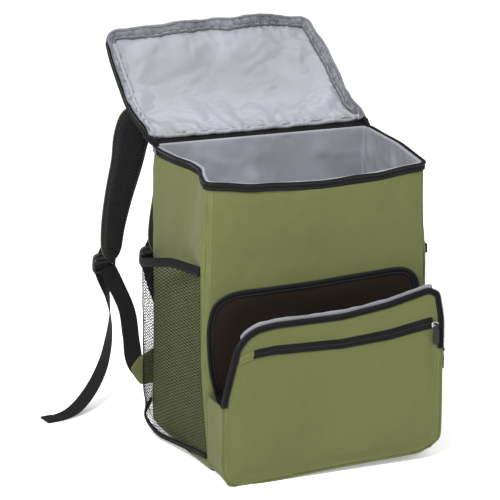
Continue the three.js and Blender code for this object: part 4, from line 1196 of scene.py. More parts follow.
@dataclass
class BagLid:
    """The lid, thrown back on its hinge: shell, padded lining, gathered border and zip."""

    bag: BagBody
    length: float = 206.0
    corner: float = 16.0
    hinge_reach: float = 8.0
    lining_start: float = 2.5
    left_share: float = 0.262
    skirt: float = 13.0
    tape_height: float = 6.0
    left_back: Table = Table((0, 0.14, 0.32, 0.48, 0.64, 0.82, 1), (0, 0.135, 0.31, 0.455, 0.595, 0.745, 0.875))
    left_up: Table = Table((0, 0.14, 0.32, 0.48, 0.64, 0.82, 1), (0, 0.04, 0.085, 0.155, 0.245, 0.345, 0.47))
    right_back: Table = Table((0, 0.14, 0.32, 0.48, 0.64, 0.82, 1), (0, 0.13, 0.285, 0.415, 0.55, 0.70, 0.845))
    right_up: Table = Table((0, 0.14, 0.32, 0.48, 0.64, 0.82, 1), (0, 0.052, 0.145, 0.24, 0.33, 0.42, 0.52))
    dish: float = 0.035

    def base(self, x: np.ndarray, s: np.ndarray) -> np.ndarray:
        """Finds a point of the lid's outer face: x across, s along from the hinge."""
        far = smooth(110, 206, s)
        cut = smooth(55, 150, x) * far
        middle = np.sin(math.pi * np.clip(s / self.length, 0, 1))
        pinch = 7.5 * smooth(60, 150, x) * smooth(5, 45, s) * (1 - 0.6 * far) + 2.5 * smooth(60, 150, x) * middle
        x = x - 16 * cut - 4.5 * smooth(-70, -150, x) * middle - pinch - 2.5 * far * smooth(-100, -150, x)
        s = s - 11 * cut + Ripple(50, 120)(x, s) * 1.2 * smooth(20, 90, s) * (1 - far)
        along, across = s / self.length, (x + self.bag.half_width) / (2 * self.bag.half_width)
        back = mix(self.left_back(along), self.right_back(along), across)
        up = mix(self.left_up(along), self.right_up(along), across)
        hollow = self.dish * np.sin(math.pi * np.clip(across, 0, 1)) * np.sin(math.pi * np.clip(along, 0, 1))
        reach = 6.6 * far * (1 - 0.45 * cut) + Ripple(49, 110)(x, s * 0) * 0.7 * far
        y = self.bag.half_depth + back * self.length + reach
        return point(x, y, self.bag.rim_height + (up - hollow) * self.length + reach)

    def normal(self, x: np.ndarray, s: np.ndarray) -> np.ndarray:
        """Finds which way the lid's inner side faces at a place."""
        x, s = np.broadcast_arrays(np.asarray(x, float), np.asarray(s, float))
        low = np.maximum(0, s - 6)
        ahead = self.base(x, np.minimum(self.length, low + 12)) - self.base(x, low)
        across = self.base(x + 6, s) - self.base(x - 6, s)
        return unit(np.cross(across, ahead))

    def place(self, x: np.ndarray, s: np.ndarray, n: np.ndarray) -> np.ndarray:
        """Finds a point of the lid: n lies above its outer face."""
        return self.base(x, s) + self.normal(x, s) * np.asarray(n, float)[..., None]

    def outline(self, count: int = 360) -> tuple[np.ndarray, np.ndarray]:
        """Follows the lid's edge from the hinge's left end round to its right.

        Args:
            count: how many places.

        Returns:
            The centre of each place's corner radius, and which way it faces, in x and s.
        """
        r = self.corner
        side, far, near = self.bag.half_width - r, self.length - r, self.hinge_reach
        arc, straight, top = r * math.pi / 2, far - near, 2 * side
        run = np.linspace(0, 2 * straight + 2 * arc + top, count)
        turn = (np.clip((run - straight) / arc, 0, 1) + np.clip((run - straight - arc - top) / arc, 0, 1)) * math.pi / 2
        s = near + np.clip(run, 0, straight) - np.clip(run - straight - 2 * arc - top, 0, straight)
        x = -side + np.clip(run - straight - arc, 0, top)
        return np.stack([x, s], 1), np.stack([-np.cos(turn), np.sin(turn)], 1)

    def edge(self, inset: float, n: np.ndarray, count: int = 360) -> tuple[np.ndarray, np.ndarray, np.ndarray]:
        """Follows the edge at an inset and a height.

        Args:
            inset: how far inside the outline, in millimetres.
            n: how far above the outer face, scaled down towards the hinge.
            count: how many places.

        Returns:
            The line, which way is out from the lid's middle, and which way its inner side faces.
        """
        core, way = self.outline(count)
        x, s = (core[:, k] + way[:, k] * (self.corner - inset) for k in (0, 1))
        up = self.normal(x, s)
        here = self.base(x, s)
        beyond = self.base(x + way[:, 0] * 3, s + way[:, 1] * 3)
        rise = np.asarray(n, float) * self.risen(s)
        return here + up * rise[:, None], unit(beyond - here), up

    def risen(self, s: np.ndarray) -> np.ndarray:
        """Tells how much of its height the skirt has, from the hinge on."""
        return 0.35 + 0.65 * smooth(self.hinge_reach - 6, self.hinge_reach + 14, s)

    def sheet(self, rows: int, cols: int, inset: float, start: float) -> tuple[np.ndarray, np.ndarray]:
        """Lays a grid over the lid inside an inset, with its far corners rounded.

        Args:
            rows: rows from the hinge.
            cols: columns across.
            inset: how far inside the outline.
            start: how far past the hinge it begins.

        Returns:
            The x and s of each point.
        """
        r = self.corner - inset
        half = self.bag.half_width - inset
        along = np.linspace(self.hinge_reach + start, self.length - inset, rows)
        s, x = np.meshgrid(along, np.linspace(-half, half, cols), indexing="ij")
        dx, ds = np.abs(x) - (half - r), s - (self.length - inset - r)
        corner = (dx > 0) & (ds > 0)
        size = np.hypot(dx, ds)
        scale = np.where(corner, np.maximum(dx, ds) / np.maximum(size, 1e-6), 1)
        x = np.where(corner, np.sign(x) * (half - r + dx * scale), x)
        s = np.where(corner, self.length - inset - r + ds * scale, s)
        return x, s

    def build_shell(self) -> None:
        """Makes the olive outer panel, its skirt and the welt between them."""
        x, s = self.sheet(76, 104, 1.6, 0.9)
        near = np.minimum(self.bag.half_width - np.abs(x), np.minimum(self.length - s, s - self.hinge_reach))
        waves = Ripple(51, 130)(x, s) * 0.7 + Ripple(52, 45)(x, s) * 0.25
        puff = 0.9 * (1 - np.exp(-near / 12)) + waves * smooth(4, 30, near)
        outer = self.place(x, s, -np.clip(puff, -0.3, 2.2))
        inner = self.place(x, s, 1.4)
        shell = slab(outer, inner, np.clip(np.exp(-near / 4), 0, 1))
        dress("lid_shell_cloth", shell, [Finish.OLIVE], ["lid_outer"])
        core_line, out, up = self.edge(0.8, self.skirt - self.tape_height)
        foot, _, _ = self.edge(0.4, 0.4)
        grid = np.stack([mix(foot, core_line, t) for t in np.linspace(0, 1, 5)])
        dress("lid_skirt_cloth", slab(grid, grid - out[None] * 1.3), [Finish.OLIVE])
        welt = sweep(foot, out, up, round_profile(2.6, 2.6, 8, 1.0), worn=0.8)
        dress("lid_welt", welt, [Finish.TAPE])
        row, _, above = self.edge(6.5, 0.0)
        seam = studs(row - above, -above, 3.2, (2.2, 0.5, 0.45), 0.1)
        dress("lid_shell_stitches", seam, [Finish.OLIVE_THREAD])

    def build_lining(self) -> None:
        """Makes the padded lining, which settles into soft creases between its seams."""
        inset = 9.5
        x, s = self.sheet(130, 176, inset, self.lining_start)
        cx, cs = self.sheet(62, 84, inset, self.lining_start)
        held = np.zeros(cx.shape, bool)
        held[[0, -1]] = True
        held[:, [0, -1]] = True
        rest = self.place(cx, cs, 6.4 + Ripple(66, 48)(cx, cs) * 0.5 * ~held)
        moved = finer(settle(rest, held, 0.014, 1.0, 3.6), *x.shape)
        ends = np.minimum(self.length - s, s - self.hinge_reach) - inset
        near = np.minimum(self.bag.half_width - inset - np.abs(x), ends)
        soft = smooth(0, 24, near)
        ahead = s - self.length / 2
        folds = Creases(62, 30, (130, 85), (24, 22))(x, ahead) * 1.25
        folds = folds + Creases(65, 46, (140, 95), (60, 60), (14, 44), (1.6, 3.6))(x, ahead) * 0.5
        waves = Ripple(61, 150)(x, s) * 1.4 + folds
        tucks = Ripple(63, 13)(x, s) * 0.6 * np.exp(-near / 12) + Ripple(64, 30)(x, s) * 0.6 * np.exp(-near / 26)
        fold = np.exp(-(((s - 30 - 0.25 * (x + 150)) / 9) ** 2)) * smooth(-60, -140, x) * 2.6
        outer = self.place(x, s, 6.4 + waves * soft + tucks + fold * smooth(0, 12, near)) + moved
        inner = self.place(x, s, 2.9)
        worn = np.clip(np.exp(-near / 3), 0, 1)
        dress("lid_lining_film", slab(outer, inner, worn), [Finish.LINING], ["lid_lining"])

    def build_border(self) -> None:
        """Makes the gathered grey border between the lining and the zip, with its bound seams; along the top and right,
        and on the hem, it is painted darker as shade.
        """
        count = 640
        core, way = self.outline(count)
        run = lengths(core + way * 16)
        share = np.linspace(0, 1, 15)
        shift = Ripple(76, 70)(run, 0) * 1.6
        rows = []
        for t in share:
            inset = 10.0 + shift * (1 - t) - 8.8 * t**1.25
            line, out, up = self.edge(inset, 6.0 + 7.4 * t**1.4, count)
            gather = Ripple(71, 10)(run + t * 5, t * 5) * 1.0 + Ripple(72, 24)(run, t * 4) * 1.2
            ridge = np.maximum(Ripple(77, 15)(run + t * 9, t * 3), 0) ** 1.5 * 1.8
            calm = math.sin(math.pi * min(1, t * 0.9 + 0.08))
            rows.append(line + up * ((gather + ridge + 1.4) * calm)[:, None] - out * (gather * 0.35 * calm)[:, None])
        grid = np.stack(rows)
        back = grid - self.edge(0, 0.0, count)[2][None]
        worn = np.broadcast_to((np.abs(share - 0.5) * 2)[:, None] ** 4, grid.shape[:2])
        film = slab(grid, back, worn)
        # The border takes the darker film, painted shade, past its left stretch; the left stretch keeps the lining's
        # colour.
        places = np.array([min(face) % count for face in film.faces])
        film.patches = (places < count * self.left_share).astype(int)
        dress("lid_border_film", film, [Finish.LID_BORDER_PAINTED_SHADE, Finish.LINING])
        line, out, up = self.edge(10.4, 8.2, count)
        line = line - out * (shift * 0.9 + Ripple(73, 20)(run, 0) * 0.5)[:, None]
        line = line + up * (Ripple(74, 17)(run, 0) * 0.4)[:, None]
        thick = round_profile(5.6, 3.4, 12, 0.85)[None] * (1 + 0.16 * Ripple(75, 9)(run, 0))[:, None, None]
        bound = sweep(line, out, up, thick, worn=0.5)
        # The binding likewise takes the darker painted shade past its left stretch.
        bound.patches = (np.arange(len(bound.faces)) < count * self.left_share * 12).astype(int)
        dress("lid_border_binding", bound, [Finish.LID_BINDING_PAINTED_SHADE, Finish.LINING])
        seam = studs(line + up * 1.35 + out * 0.4, up, 3.2, (2.0, 0.75, 0.6), 0.05)
        dress("lid_border_stitches", seam, [Finish.GREY_THREAD])
        top, out, up = self.edge(1.0, 13.6, count)
        top = top + out * (Ripple(78, 34)(run, 0) * 0.7)[:, None] + up * (Ripple(79, 16)(run, 0) * 0.2)[:, None]
        size = (1 + 0.1 * Ripple(80, 20)(run, 0)) * (0.55 + 0.45 * smooth(0.2, 0.3, np.linspace(0, 1, count)))
        hem = round_profile(3.8, 3.2, 10, 1.0)[None] * size[:, None, None]
        rolled = sweep(top - out * (1.9 - 1.9 * size)[:, None], out, up, hem, worn=0.4)
        # The hem is in the darker film all round, painted shade.
        dress("lid_border_hem", rolled, [Finish.LID_BORDER_PAINTED_SHADE])
        self.build_near_roll()

    def build_near_roll(self) -> None:
        """Makes the padded roll where the lining turns down at the hinge."""
        x = np.linspace(-147.5, 147.5, 260)
        line = self.place(x, np.full(260, self.hinge_reach + 2.6), np.full(260, 3.4))
        ahead = unit(self.base(x, np.full(260, 20.0)) - self.base(x, np.full(260, 8.0)))
        up = self.normal(x, np.full(260, self.hinge_reach + 3))
        end = smooth(120, 147, np.abs(x))
        bumps = Ripple(68, 26)(x, 0) * 0.8 + Ripple(69, 10)(x, 0) * 0.3 * (1 + 2 * end)
        line = line + up * (bumps + 1.6 * end)[:, None] + ahead * (2.6 * end)[:, None]
        thick = round_profile(7.2, 5.8, 16, 0.85)[None] * (1 + 0.12 * bumps + 0.25 * end)[:, None, None]
        dress("lid_near_roll", sweep(line, ahead, up, thick, worn=0.2), [Finish.LINING])

    def build_zip(self) -> None:
        """Makes the zip tape along the lid's edge, with its coil."""
        line, out, up = self.edge(0.4, self.skirt - self.tape_height / 2 - 0.6)
        profile = np.array([(0.9, -8.2), (1.3, -5.0), (1.1, -1.0), (1.5, 0.4), (1.1, 1.8), (0.1, 2.2), (-1.0, 2.0),
                            (-1.6, 0.0), (-1.5, -4.0), (-0.4, -8.4)])
        dress("lid_zip_cloth", sweep(line, out, up, profile, worn=0.4), [Finish.TAPE], ["lid_zip_tape"])
        coil = studs(line + up * 1.2 + out * 1.5, out, 1.7, (2.4, 0.9, 0.8), 0, True)
        dress("lid_zip_coil", coil, [Finish.COIL])

    def build_hinge(self) -> None:
        """Makes the black binding that joins the back wall's top to the lid."""
        x = np.linspace(-147, 147, 150)
        rim, deep, corner = self.bag.rim_height, self.bag.half_depth, self.bag.corner
        turn = np.clip(np.abs(x) - (self.bag.half_width - corner), 0, corner)
        late = smooth(0, 9, turn)

        def rows(depth: float) -> np.ndarray:
            """Finds the binding's rows at a depth in its thickness."""
            y = deep - corner + np.sqrt(np.maximum((corner - depth) ** 2 - turn**2, 4))
            knots = np.stack([
                self.bag.soften(point(x, y, rim - 10 + 9.5 * late)),
                self.bag.soften(point(x, y, rim - 2 + 2.4 * late)),
                self.place(x, np.full(150, 3.0), depth - 0.5 + 0 * x),
                self.place(x, np.full(150, 9.5), depth - 0.6 + 0 * x),
            ])
            return np.stack([spline(knots[:, i], 16) for i in range(150)], axis=1)

        v, u = np.meshgrid(np.linspace(0, 22, 16), x, indexing="ij")
        bump = (Ripple(81, 24)(u, v) * 0.3 + Ripple(82, 8)(u, v * 0.3) * (0.12 + 0.5 * late[None]))[..., None]
        outer, inner = rows(0), rows(1.6)
        outer = outer + unit(outer - inner) * (bump + 0.2)
        dress("hinge_binding_cloth", slab(outer, inner), [Finish.BINDING], ["hinge_binding"])
        for end, word in ((-1, "left"), (1, "right")):
            low = self.bag.soften(point(end * 146.0, deep - 14, rim - 3))
            mid = self.bag.soften(point(end * 147.5, deep - 3, rim + 1.5))
            lid_edge, _, _ = self.edge(0.6, 6.0)
            high = lid_edge[14 if end < 0 else -15]
            path = spline(np.stack([low, mid, lid_edge[0 if end < 0 else -1], high]), 34)
            side = np.tile([float(end), 0, 0], (34, 1))
            ahead = unit(np.gradient(path, axis=0))
            side = square(side, ahead)
            size = 1 + 0.25 * np.sin(np.linspace(0, math.pi, 34)) + 0.18 * Ripple(83, 9)(lengths(path), 0)
            bunch = round_profile(5.0, 8.4, 12, 0.85)[None] * size[:, None, None]
            dress(f"hinge_corner_{word}", sweep(path, side, np.cross(side, ahead), bunch, worn=0.4), [Finish.TAPE])

    def build(self) -> None:
        """Makes the whole lid."""
        self.build_shell()
        self.build_lining()
        self.build_border()
        self.build_zip()
        self.build_hinge()


@dataclass
class FrontPocket:
    """The front pocket, gaping: panel, gusset, lining, its zip and the slip pocket's zip."""

    bag: BagBody
    height: float = 207.0
    gape: float = 57.0
    gusset_top: float = 104.0
    slider_along: float = 0.66
    left: tuple[Table, Table] = (
        Table((0, 0.12, 0.55, 0.75, 1), (-0.93, -0.965, -0.967, -0.91, -0.85), 0.04),
        Table((0, 0.12, 0.55, 0.75, 1), (0.03, 0.12, 0.55, 0.71, 0.87), 0.04),
    )
    right: tuple[Table, Table] = (
        Table((0, 0.12, 0.55, 0.85, 1), (0.93, 0.99, 0.985, 1.0, 0.965), 0.04),
        Table((0, 0.12, 0.55, 0.85, 1), (0.07, 0.14, 0.58, 0.9, 1.06), 0.04),
    )
    bottom: tuple[Table, Table] = (
        Table((0, 0.08, 0.5, 0.93, 1), (-0.93, -0.8, 0, 0.8, 0.93), 0.02),
        Table((0, 0.08, 0.5, 0.93, 1), (0.03, 0.012, 0.03, 0.052, 0.07), 0.02),
    )
    top: tuple[Table, Table] = (
        Table((0, 0.07, 0.15, 0.25, 0.55, 0.75, 0.93, 1), (-0.85, -0.77, -0.66, -0.5, 0.1, 0.5, 0.88, 0.965), 0.02),
        Table((0, 0.07, 0.15, 0.25, 0.55, 0.75, 0.93, 1), (0.87, 0.945, 0.985, 1.0, 1.0, 1.035, 1.1, 1.06), 0.02),
    )
    belly_left: Table = Table((0, 0.3, 0.6, 1), (0.92, 0.96, 1.0, 0.98), 0.08)
    belly_right: Table = Table((0, 0.3, 0.6, 1), (0.8, 0.86, 0.86, 0.74), 0.08)
    zip_back: tuple[tuple[float, float], ...] = (
        (-0.9, 0.48), (-0.935, 0.6), (-0.955, 0.76), (-0.955, 0.95), (-0.9, 1.07), (-0.77, 1.125), (-0.4, 1.14),
        (0, 1.15), (0.45, 1.17), (0.8, 1.17), (0.9, 1.1), (0.925, 0.98), (0.925, 0.72),
    )
    slip: tuple[float, float, float] = (0.14, 0.93, 0.775)
    slip_height: float = 13.0

    def base(self, u: np.ndarray, v: np.ndarray) -> np.ndarray:
        """Finds a point of the panel's outer face; u runs left to right and v runs up."""
        u, v = np.broadcast_arrays(np.asarray(u, float), np.asarray(v, float))
        where = []
        for k, scale in ((0, self.bag.half_width), (1, self.height)):
            l, r, b, t = self.left[k], self.right[k], self.bottom[k], self.top[k]
            corners = mix(mix(l.value[0], r.value[0], u), mix(l.value[-1], r.value[-1], u), v)
            where.append((mix(l(v), r(v), u) + mix(b(u), t(u), v) - corners) * scale)
        foot = smooth(0.16, 0, v)
        left, right = smooth(0.1, 0, u) * foot, smooth(0.88, 1, u) * foot
        where[0] = where[0] - 3.5 * right**2 + 3 * left**2 + 3 * smooth(0.6, 1, u)
        where[1] = where[1] + 2.5 * right**2 - 4.6 * smooth(0.6, 0, u) * foot * (1 - 0.5 * left**2)
        belly = mix(self.belly_left(v), self.belly_right(v), u)
        return point(where[0], -self.bag.half_depth - self.gape * belly, where[1])

    def normal(self, u: np.ndarray, v: np.ndarray) -> np.ndarray:
        """Finds which way the panel's outer face looks."""
        u, v = np.broadcast_arrays(np.asarray(u, float), np.asarray(v, float))
        across = self.base(np.clip(u + 0.02, 0, 1), v) - self.base(np.clip(u - 0.02, 0, 1), v)
        ahead = self.base(u, np.clip(v + 0.02, 0, 1)) - self.base(u, np.clip(v - 0.02, 0, 1))
        return unit(np.cross(across, ahead))

    def place(self, u: np.ndarray, v: np.ndarray, out: np.ndarray) -> np.ndarray:
        """Finds a point in front of the panel's outer face, or behind it."""
        return self.base(u, v) + self.normal(u, v) * np.asarray(out, float)[..., None]

    def build_panel(self) -> None:
        """Makes the padded outer panel."""
        u, v = np.meshgrid(np.linspace(0, 1, 120), np.linspace(0, 1, 96))
        base = self.base(u, v)
        cloth = grid_cloth(base)
        near = edge_distance(cloth)
        strip = np.abs(v - self.slip[2] - self.slip_height / self.height / 2) * self.height
        clear = smooth(8, 24, strip) * smooth(8, 26, near)
        x, y = cloth[..., 0], cloth[..., 1]
        broad = Ripple(91, 170)(x, y) * 1.2 + Ripple(92, 70)(x, y) * 0.55 + Ripple(93, 30)(x, y) * 0.2
        broad += Creases(95, 10, (130, 90), (20, 50), (50, 120), (6, 14))(x, y) * 0.7
        tucks = Ripple(94, 10)(x, y) * 0.3 * np.exp(-near / 7)
        lift = np.clip((1.2 + broad) * clear + tucks - 1.1 * np.exp(-((near / 2.6) ** 2)), -1.1, 3.0)
        lift = np.where(v > 0.5, np.minimum(lift, 0.4 + 2.6 * clear), lift)
        outer = self.place(u, v, lift)
        inner = self.place(u, v, -1.6)
        worn = np.clip(np.exp(-near / 4), 0, 1)
        panel = slab(outer, inner, worn)
        # The panel's inner faces are near-black, painted shade inside the pocket.
        dress("pocket_panel_cloth", panel, [Finish.OLIVE, Finish.POCKET_PAINTED_SHADE], ["pocket_front_panel"])

    def side_line(self) -> tuple[np.ndarray, np.ndarray]:
        """Follows the panel's edge where the gusset joins it: left side, bottom, right side."""
        top = self.gusset_top / self.height
        parts = [
            (np.zeros(40), np.linspace(top, 0, 40)),
            (np.linspace(0, 1, 92)[1:-1], np.zeros(90)),
            (np.ones(54), np.linspace(0, self.slider_along + 0.02, 54)),
        ]
        return np.concatenate([p[0] for p in parts]), np.concatenate([p[1] for p in parts])

    def inward(self, line: np.ndarray) -> np.ndarray:
        """Finds which way is in from an edge, towards the pocket's middle."""
        ahead = unit(np.gradient(line, axis=0))
        side = unit(np.stack([-ahead[:, 2], np.zeros(len(line)), ahead[:, 0]], 1))
        middle = np.array([0, 0, self.height / 2])
        turn = np.sign(np.sum(side * (middle - line) * [1, 0, 1], axis=1, keepdims=True))
        return side * np.where(turn == 0, 1, turn)

    def build_gusset(self) -> None:
        """Makes the gusset from the body to the panel, and the welt along its front seam."""
        u, v = self.side_line()
        line = self.place(u, v, -1.9)
        within = relax(self.inward(line), 6)
        run = lengths(line)
        shares = np.linspace(0, 1, 22)
        back = -self.bag.half_depth - 0.3
        rows_out, rows_in = [], []
        for t in shares:
            y = mix(line[:, 1], back, t)
            slump = math.sin(math.pi * t) * (1.0 + Ripple(101, 60)(run, t * 50) * 1.1)
            slump = np.clip(slump, 0, 3.0) + Ripple(102, 12)(run, t * 14) * 0.2 * math.exp(-min(t, 1 - t) * 12)
            rows_out.append(point(line[:, 0], y, line[:, 2]) + within * slump[:, None])
            rows_in.append(point(line[:, 0], y, line[:, 2]) + within * (slump + 1.5)[:, None])
        outer, inner = np.stack(rows_out), np.stack(rows_in)
        worn = np.broadcast_to(0.3 * np.exp(-np.minimum(shares, 1 - shares) * 20)[:, None], outer.shape[:2])
        # The gusset's inner faces are near-black, painted shade inside the pocket.
        dress("pocket_gusset_cloth", slab(outer, inner, worn), [Finish.OLIVE, Finish.POCKET_PAINTED_SHADE], ["pocket_gusset"])
        front = self.place(u, v, -0.6) - within * 0.1
        welt = sweep(front, -within, self.normal(u, v), round_profile(2.2, 2.2, 8, 1.0), worn=0.3)
        dress("pocket_welt", welt, [Finish.OLIVE])

    def build_lining(self) -> None:
        """Makes the panel's lining, whose pale edge shows above the zip, and the back of the pocket, painted near-black
        as the shade inside it.
        """
        u, v = np.meshgrid(np.linspace(0.045, 0.955, 110), np.linspace(0.05, 1, 60))
        sheet = self.place(u, v, -1.95)
        edge = self.place(u[-1], 1.0, -1.95)
        ripple = Ripple(111, 26)(edge[:, 0], 0) * 0.5
        lip = [edge + np.array([0, 0, 1.0]) * (t * 5.4 + ripple * t)[:, None] for t in np.linspace(0.2, 1, 5)]
        sheet = np.vstack([sheet, np.stack(lip)])
        behind = self.place(u, v, -3.4)
        lip_back = [p + np.array([0, 1.0, 0]) for p in lip]
        behind = np.vstack([behind, np.stack(lip_back)])
        # The film's back faces, inside the pocket, are near-black painted shade.
        dress("pocket_lining_film", slab(sheet, behind), [Finish.LINING, Finish.POCKET_PAINTED_SHADE], ["pocket_lining"])
        line = np.array(self.zip_back) * [self.bag.half_width, self.height]
        foot = np.array([[0.86, 0.5], [0.84, 0.05], [-0.84, 0.05], [-0.86, 0.3]]) * [self.bag.half_width, self.height]
        outline = spline(np.vstack([line, foot, line[:1]]), 240)
        middle = np.array([0, self.height * 0.6])
        shares = np.linspace(0.985, 0.02, 26)
        rings = [mix(middle, outline, t) for t in shares]
        grid = np.stack([self.bag.soften(point(r[:, 0], self.bag.front(r[:, 0]) - 0.5, r[:, 1])) for r in rings])
        swell = np.clip(Ripple(112, 60)(grid[..., 0], grid[..., 2]) * 0.8 + 0.4, 0, 2)
        grid[..., 1] -= swell * smooth(0, 0.2, 1 - shares)[:, None]
        # The pocket's back wall is painted near-black, the shade inside the pocket.
        dress("pocket_back_lining", slab(grid, grid + np.array([0, 0.4, 0]), None, True), [Finish.POCKET_PAINTED_SHADE])

    def tape(self, name: str, line: np.ndarray, within: np.ndarray, out: np.ndarray, stands_for: list[str],
             wrap: float) -> None:
        """Makes one side of the zip: tape, rolled edge, coil and stitches.

        Args:
            name: the piece's name.
            line: the edge that it follows.
            within: the direction of the tape's width from the edge.
            out: which way it faces.
            stands_for: the solids that it replaces.
            wrap: how far its edge is folded back, in millimetres.
        """
        profile = np.array([(7.0, 0.1), (6.7, 1.2), (4.9, 1.5), (3.9, 0.9), (3.2, 1.2), (2.6, 2.0), (1.0, 2.2),
                            (-0.3, 1.8), (-1.0, 0.8), (-1.0, -0.4 - wrap), (0.1, -1.0 - wrap), (0.6, -0.2 - wrap),
                            (0.7, -0.1), (3.6, -0.1)])
        if wrap <= 0:
            profile = np.array([(7.4, 0.1), (7.1, 1.2), (5.0, 1.5), (4.0, 0.9), (3.2, 1.2), (2.6, 2.0), (1.0, 2.2),
                                (-0.3, 1.8), (-1.0, 1.0), (-1.0, 0.1)])
        dress(name, sweep(line, within, out, profile, worn=0.4), [Finish.TAPE], stands_for)
        coil = studs(line - within * 0.9 + out * 1.7, out - within * 0.6, 1.6, (2.6, 0.85, 0.9), 0, True)
        seam = studs(line + within * 5.6 + out * 1.4, out, 3.0, (2.0, 0.45, 0.4), 0.1)
        dress(name.replace("cloth", "coil"), coil, [Finish.COIL])
        dress(name.replace("cloth", "stitches"), seam, [Finish.BLACK_THREAD])

    def build_zip(self) -> None:
        """Makes both sides of the pocket's open zip."""
        parts = [
            (np.zeros(60), np.linspace(0.52, 1, 60)),
            (np.linspace(0, 1, 180)[1:-1], np.ones(178)),
            (np.ones(40), np.linspace(1, 0.68, 40)),
        ]
        u, v = np.concatenate([p[0] for p in parts]), np.concatenate([p[1] for p in parts])
        line = relax(self.place(u, v, 0.2), 8)
        within = unit(relax(self.inward(line), 14))
        out = unit(relax(self.normal(u, v), 14))
        self.tape("pocket_zip_front_cloth", line, within, out, ["pocket_zip_front"], 2.6)
        self.build_zip_foot()
        flat = np.array(self.zip_back) * [self.bag.half_width, self.height]
        flat = relax(spline(flat, 260), 10)
        line = self.bag.soften(point(flat[:, 0], self.bag.front(flat[:, 0]) - 0.4, flat[:, 1]))
        out = np.tile([0.0, -1, 0], (len(line), 1))
        self.tape("pocket_zip_back_cloth", line, unit(relax(self.inward(line), 10)), out, ["pocket_zip_back"], 0)

    def build_zip_foot(self) -> None:
        """Turns the tape round the gusset's left top edge, from the panel to the body."""
        start = self.place(0.0, 0.56, 1.0)
        low = self.place(0.0, self.gusset_top / self.height + 0.012, 0.2)
        seam = self.zip_back[0][0] * self.bag.half_width + 3.5
        wall = np.array([seam, -self.bag.half_depth - 1.0, self.gusset_top - 2])
        bend = mix(low, wall, 0.5) + [1, 0, -2.5]
        knots = np.stack([start + [3.2, 0, 0], low + [3.2, 1.5, 0], bend, wall, wall + [0, 0, 9]])
        path = relax(spline(knots, 80), 8)
        side = np.tile([1.0, 0, 0], (80, 1))
        ahead = unit(np.gradient(path, axis=0))
        side = square(side, ahead)
        roll = round_profile(6.4, 2.6, 12, 0.6)
        dress("pocket_zip_foot", sweep(path, side, np.cross(side, ahead), roll, worn=0.4), [Finish.TAPE])

    def build_slip(self) -> None:
        """Makes the slip pocket's zip across the panel, and the tab over its left end."""
        left, right, low = self.slip
        rise = self.slip_height / self.height
        u = np.linspace(left, right, 220)
        across = [
            (0.0, 0.2), (0.02, 1.3), (0.13, 2.3), (0.28, 2.4), (0.37, 1.7), (0.41, 0.9), (0.5, 0.8), (0.59, 0.9),
            (0.64, 1.6), (0.72, 2.2), (0.86, 2.1), (0.98, 1.2), (1.0, 0.2),
        ]
        wave = Ripple(121, 40)(u * 300, 0)
        rows = []
        for t, out in across:
            bend = wave * 0.35 * (1 if 0.3 < t < 0.7 else 0.6)
            rows.append(self.place(u, low + rise * t + bend / self.height * 0.6, out + bend * 0.3))
        outer = np.stack(rows)
        inner = np.stack([self.place(u, low + rise * t, 0.05) for t, _ in across])
        dress("slip_zip_cloth", slab(outer, inner), [Finish.TAPE], ["slip_zip"])
        line = self.place(u, low + rise / 2, 1.0)
        coil = studs(line, self.normal(u, low), 1.6, (2.8, 0.9, 0.8), 0, True)
        dress("slip_zip_coil", coil, [Finish.COIL])
        along = np.linspace(left - 0.082, left + 0.004, 26)
        tab_u, tab_v = np.meshgrid(along, np.linspace(low - 0.002, low + rise + 0.002, 16))
        height = 1.7 - 1.2 * np.abs(np.linspace(-1, 1, 16))[:, None] ** 6 - 0.8 * np.linspace(1, 0, 26)[None] ** 8
        tab = self.place(tab_u, tab_v, height + Ripple(122, 12)(tab_u * 300, tab_v * 207) * 0.12)
        under = self.place(tab_u, tab_v, 0.05)
        dress("slip_tab_cloth", slab(tab, under, np.ones(tab_u.shape) * 0.3), [Finish.OLIVE], ["slip_zip_tab"])
        rows_at = [(2, slice(1, 25)), (13, slice(1, 25))]
        lines = [tab[r, c] for r, c in rows_at] + [tab[2:14, 23]]
        facings = [self.normal(np.full(len(path), left), low) for path in lines]
        stitches = [studs(path, out, 2.8, (1.9, 0.45, 0.4), 0.1) for path, out in zip(lines, facings)]
        edge = [self.place(u, low + rise * t, 0.25) for t in (-0.16, 1.16)]
        stitches += [studs(path, self.normal(u, low), 3.0, (2.0, 0.4, 0.35), 0.05) for path in edge]
        dress("slip_tab_stitches", Shape.joined(stitches), [Finish.OLIVE_THREAD])

    def build_seams(self) -> None:
        """Sews the panel's top stitching."""
        u, v = self.side_line()
        line = self.place(u, v, 0.35)
        within = unit(relax(self.inward(line), 6))
        seam = studs(line + within * 5, self.normal(u, v), 3.1, (2.1, 0.45, 0.4), 0.25)
        dress("pocket_seam_stitches", seam, [Finish.OLIVE_THREAD])

    def build(self) -> None:
        """Makes the whole pocket."""
        self.build_panel()
        self.build_gusset()
        self.build_lining()
        self.build_zip()
        self.build_slip()
        self.build_seams()


class Side(Enum):
    """The bag's left or right side, seen from the front."""

    LEFT = -1
    RIGHT = 1

    @property
    def word(self) -> str:
        """The side's name in piece names."""
        return self.name.lower()


